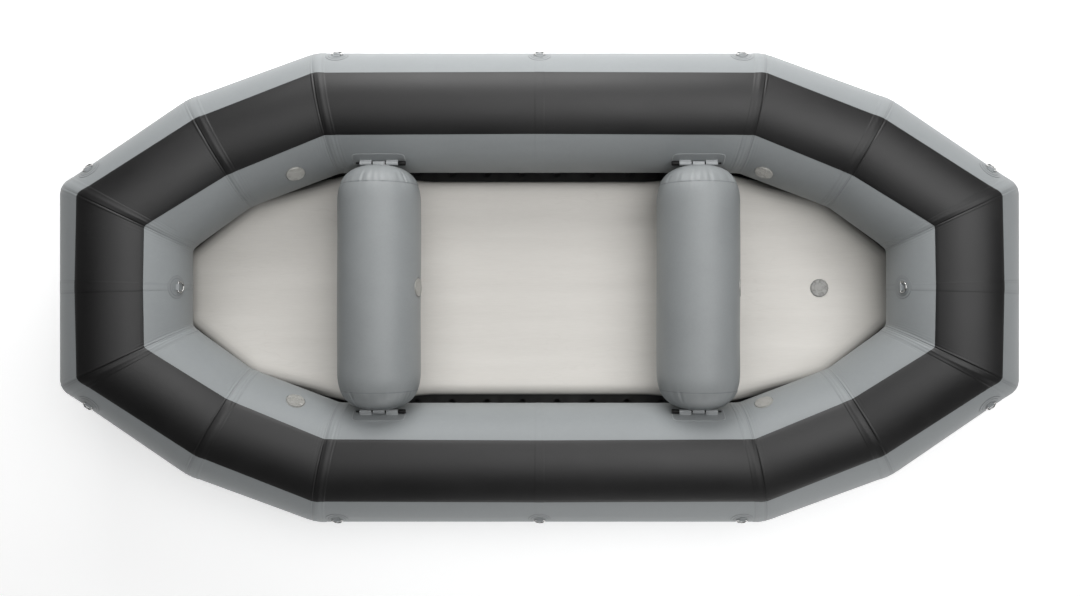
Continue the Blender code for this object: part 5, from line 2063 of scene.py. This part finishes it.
@dataclass(frozen=True)
class Lamp:
    """A soft box: where it hangs, how wide and high it is, and its power in watts."""

    name: str
    spot: tuple[float, float, float]
    size: tuple[float, float]
    power: float

    def build(self, aim: tuple[float, float, float]) -> None:
        """Hang the lamp and point it at a place.

        Args:
            aim: the place.
        """
        data = bpy.data.lights.new(self.name, "AREA")
        data.shape = "RECTANGLE"
        data.size, data.size_y = self.size
        data.energy = self.power
        lamp = bpy.data.objects.new(self.name, data)
        lamp.location = self.spot
        lamp.rotation_euler = (Vector(aim) - Vector(self.spot)).to_track_quat("-Z", "Y").to_euler()
        bpy.context.scene.collection.objects.link(lamp)


@dataclass
class Studio:
    """Pale floor, soft lights and the camera straight above.

    The floor is dark within the shade, an ellipse under the hull, and turns white between the two
    shares of the ellipse's half sizes that the shade's edge gives.
    """

    camera_at: tuple[float, float, float] = (0.002, -0.0446, 4.163)
    lens_mm: float = 30.0
    sensor_mm: float = 36.0
    floor_half: float = 30.0
    floor_drop: float = 0.0006
    floor_white: float = 0.92
    floor_glow: float = 0.52
    shade_half: tuple[float, float] = (1.75, 0.78)
    shade_edge: tuple[float, float] = (0.80, 1.10)
    shade_grey: float = 0.10
    aim: tuple[float, float, float] = (0.0, 0.0, 0.3)
    lamps: tuple[Lamp, ...] = (
        Lamp("key", (-0.20, 4.40, 2.41), (3.8, 3.0), 168.0),
        Lamp("overhead_bow", (2.4, 1.0, 5.6), (5.0, 5.0), 169.0),
        Lamp("overhead_stern", (-1.0, 1.0, 5.6), (5.0, 5.0), 74.0),
        Lamp("low_starboard", (1.4, -4.8, 1.0), (5.0, 0.8), 50.0),
    )
    sky: float = 0.012
    backdrop: float = 0.85

    def ground(self) -> None:
        """The pale floor: near white and glowing a little outside the hull's footprint, dark under it."""
        ends = np.array([-self.floor_half, self.floor_half])
        corners = np.stack([*np.meshgrid(ends, ends), np.full((2, 2), -self.floor_drop)], axis=-1)
        skin = Skin()
        skin.grid(corners)
        floor = skin.build("studio_floor")
        paint = bpy.data.materials.new("studio_floor_paint")
        paint.use_nodes = True
        shader = paint.node_tree.nodes["Principled BSDF"].inputs
        shader["Roughness"].default_value = 0.9
        shader["Specular IOR Level"].default_value = 0.1
        shader["Emission Color"].default_value = (1, 1, 1, 1)
        graph = Graph(paint.node_tree)
        where = graph.node("ShaderNodeTexCoord").outputs["Object"]
        scale = (1 / self.shade_half[0], 1 / self.shade_half[1], 1.0)
        fit = graph.fed("ShaderNodeMapping", {"Vector": where, "Scale": scale})
        reach = graph.fed("ShaderNodeVectorMath", {0: fit.outputs[0]}, operation="LENGTH").outputs["Value"]
        for key, shade, bright in (
            ("Emission Strength", 0.0, self.floor_glow), ("Base Color", self.shade_grey, self.floor_white),
        ):
            graph.feed(shader[key], graph.span(reach, self.shade_edge, (shade, bright)))
        floor.data.materials.append(paint)
        if floor.data.polygons[0].normal.z < 0:
            floor.data.flip_normals()

    def camera(self) -> None:
        """The camera, which looks straight down."""
        data = bpy.data.cameras.new("camera")
        data.lens = self.lens_mm
        data.sensor_width = self.sensor_mm
        camera = bpy.data.objects.new("camera", data)
        camera.location = self.camera_at
        bpy.context.scene.collection.objects.link(camera)
        bpy.context.scene.camera = camera

    def build(self) -> None:
        """Place floor, lamps, sky and camera."""
        self.ground()
        for lamp in self.lamps:
            lamp.build(self.aim)
        world = bpy.data.worlds.new("studio_sky")
        world.use_nodes = True
        sky = world.node_tree.nodes["Background"]
        sky.inputs["Color"].default_value = (1.0, 1.0, 1.0, 1)
        graph = Graph(world.node_tree)
        seen = graph.node("ShaderNodeLightPath").outputs["Is Camera Ray"]
        graph.feed(sky.inputs["Strength"], graph.span(seen, (0.0, 1.0), (self.sky, self.backdrop)))
        bpy.context.scene.world = world
        bpy.context.scene.view_settings.view_transform = "Standard"
        self.camera()


def main() -> None:
    """Load the solids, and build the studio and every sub-assembly."""
    logging.basicConfig(level=logging.INFO, format="%(name)s %(message)s")
    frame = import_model()
    Studio().build()
    hull = Hull()
    hull.build()
    floor = Floor()
    floor.build()
    BailFlaps(floor).build()
    thwarts = [Thwart("aft", -0.675), Thwart("fore", 0.668)]
    for thwart in thwarts:
        thwart.build()
        for side in Side:
            Hinge(thwart, side).build()
    Lashings().build()
    Valves(hull, floor, thwarts, frame["nodes"]).build()


if __name__ == "__main__":
    main()
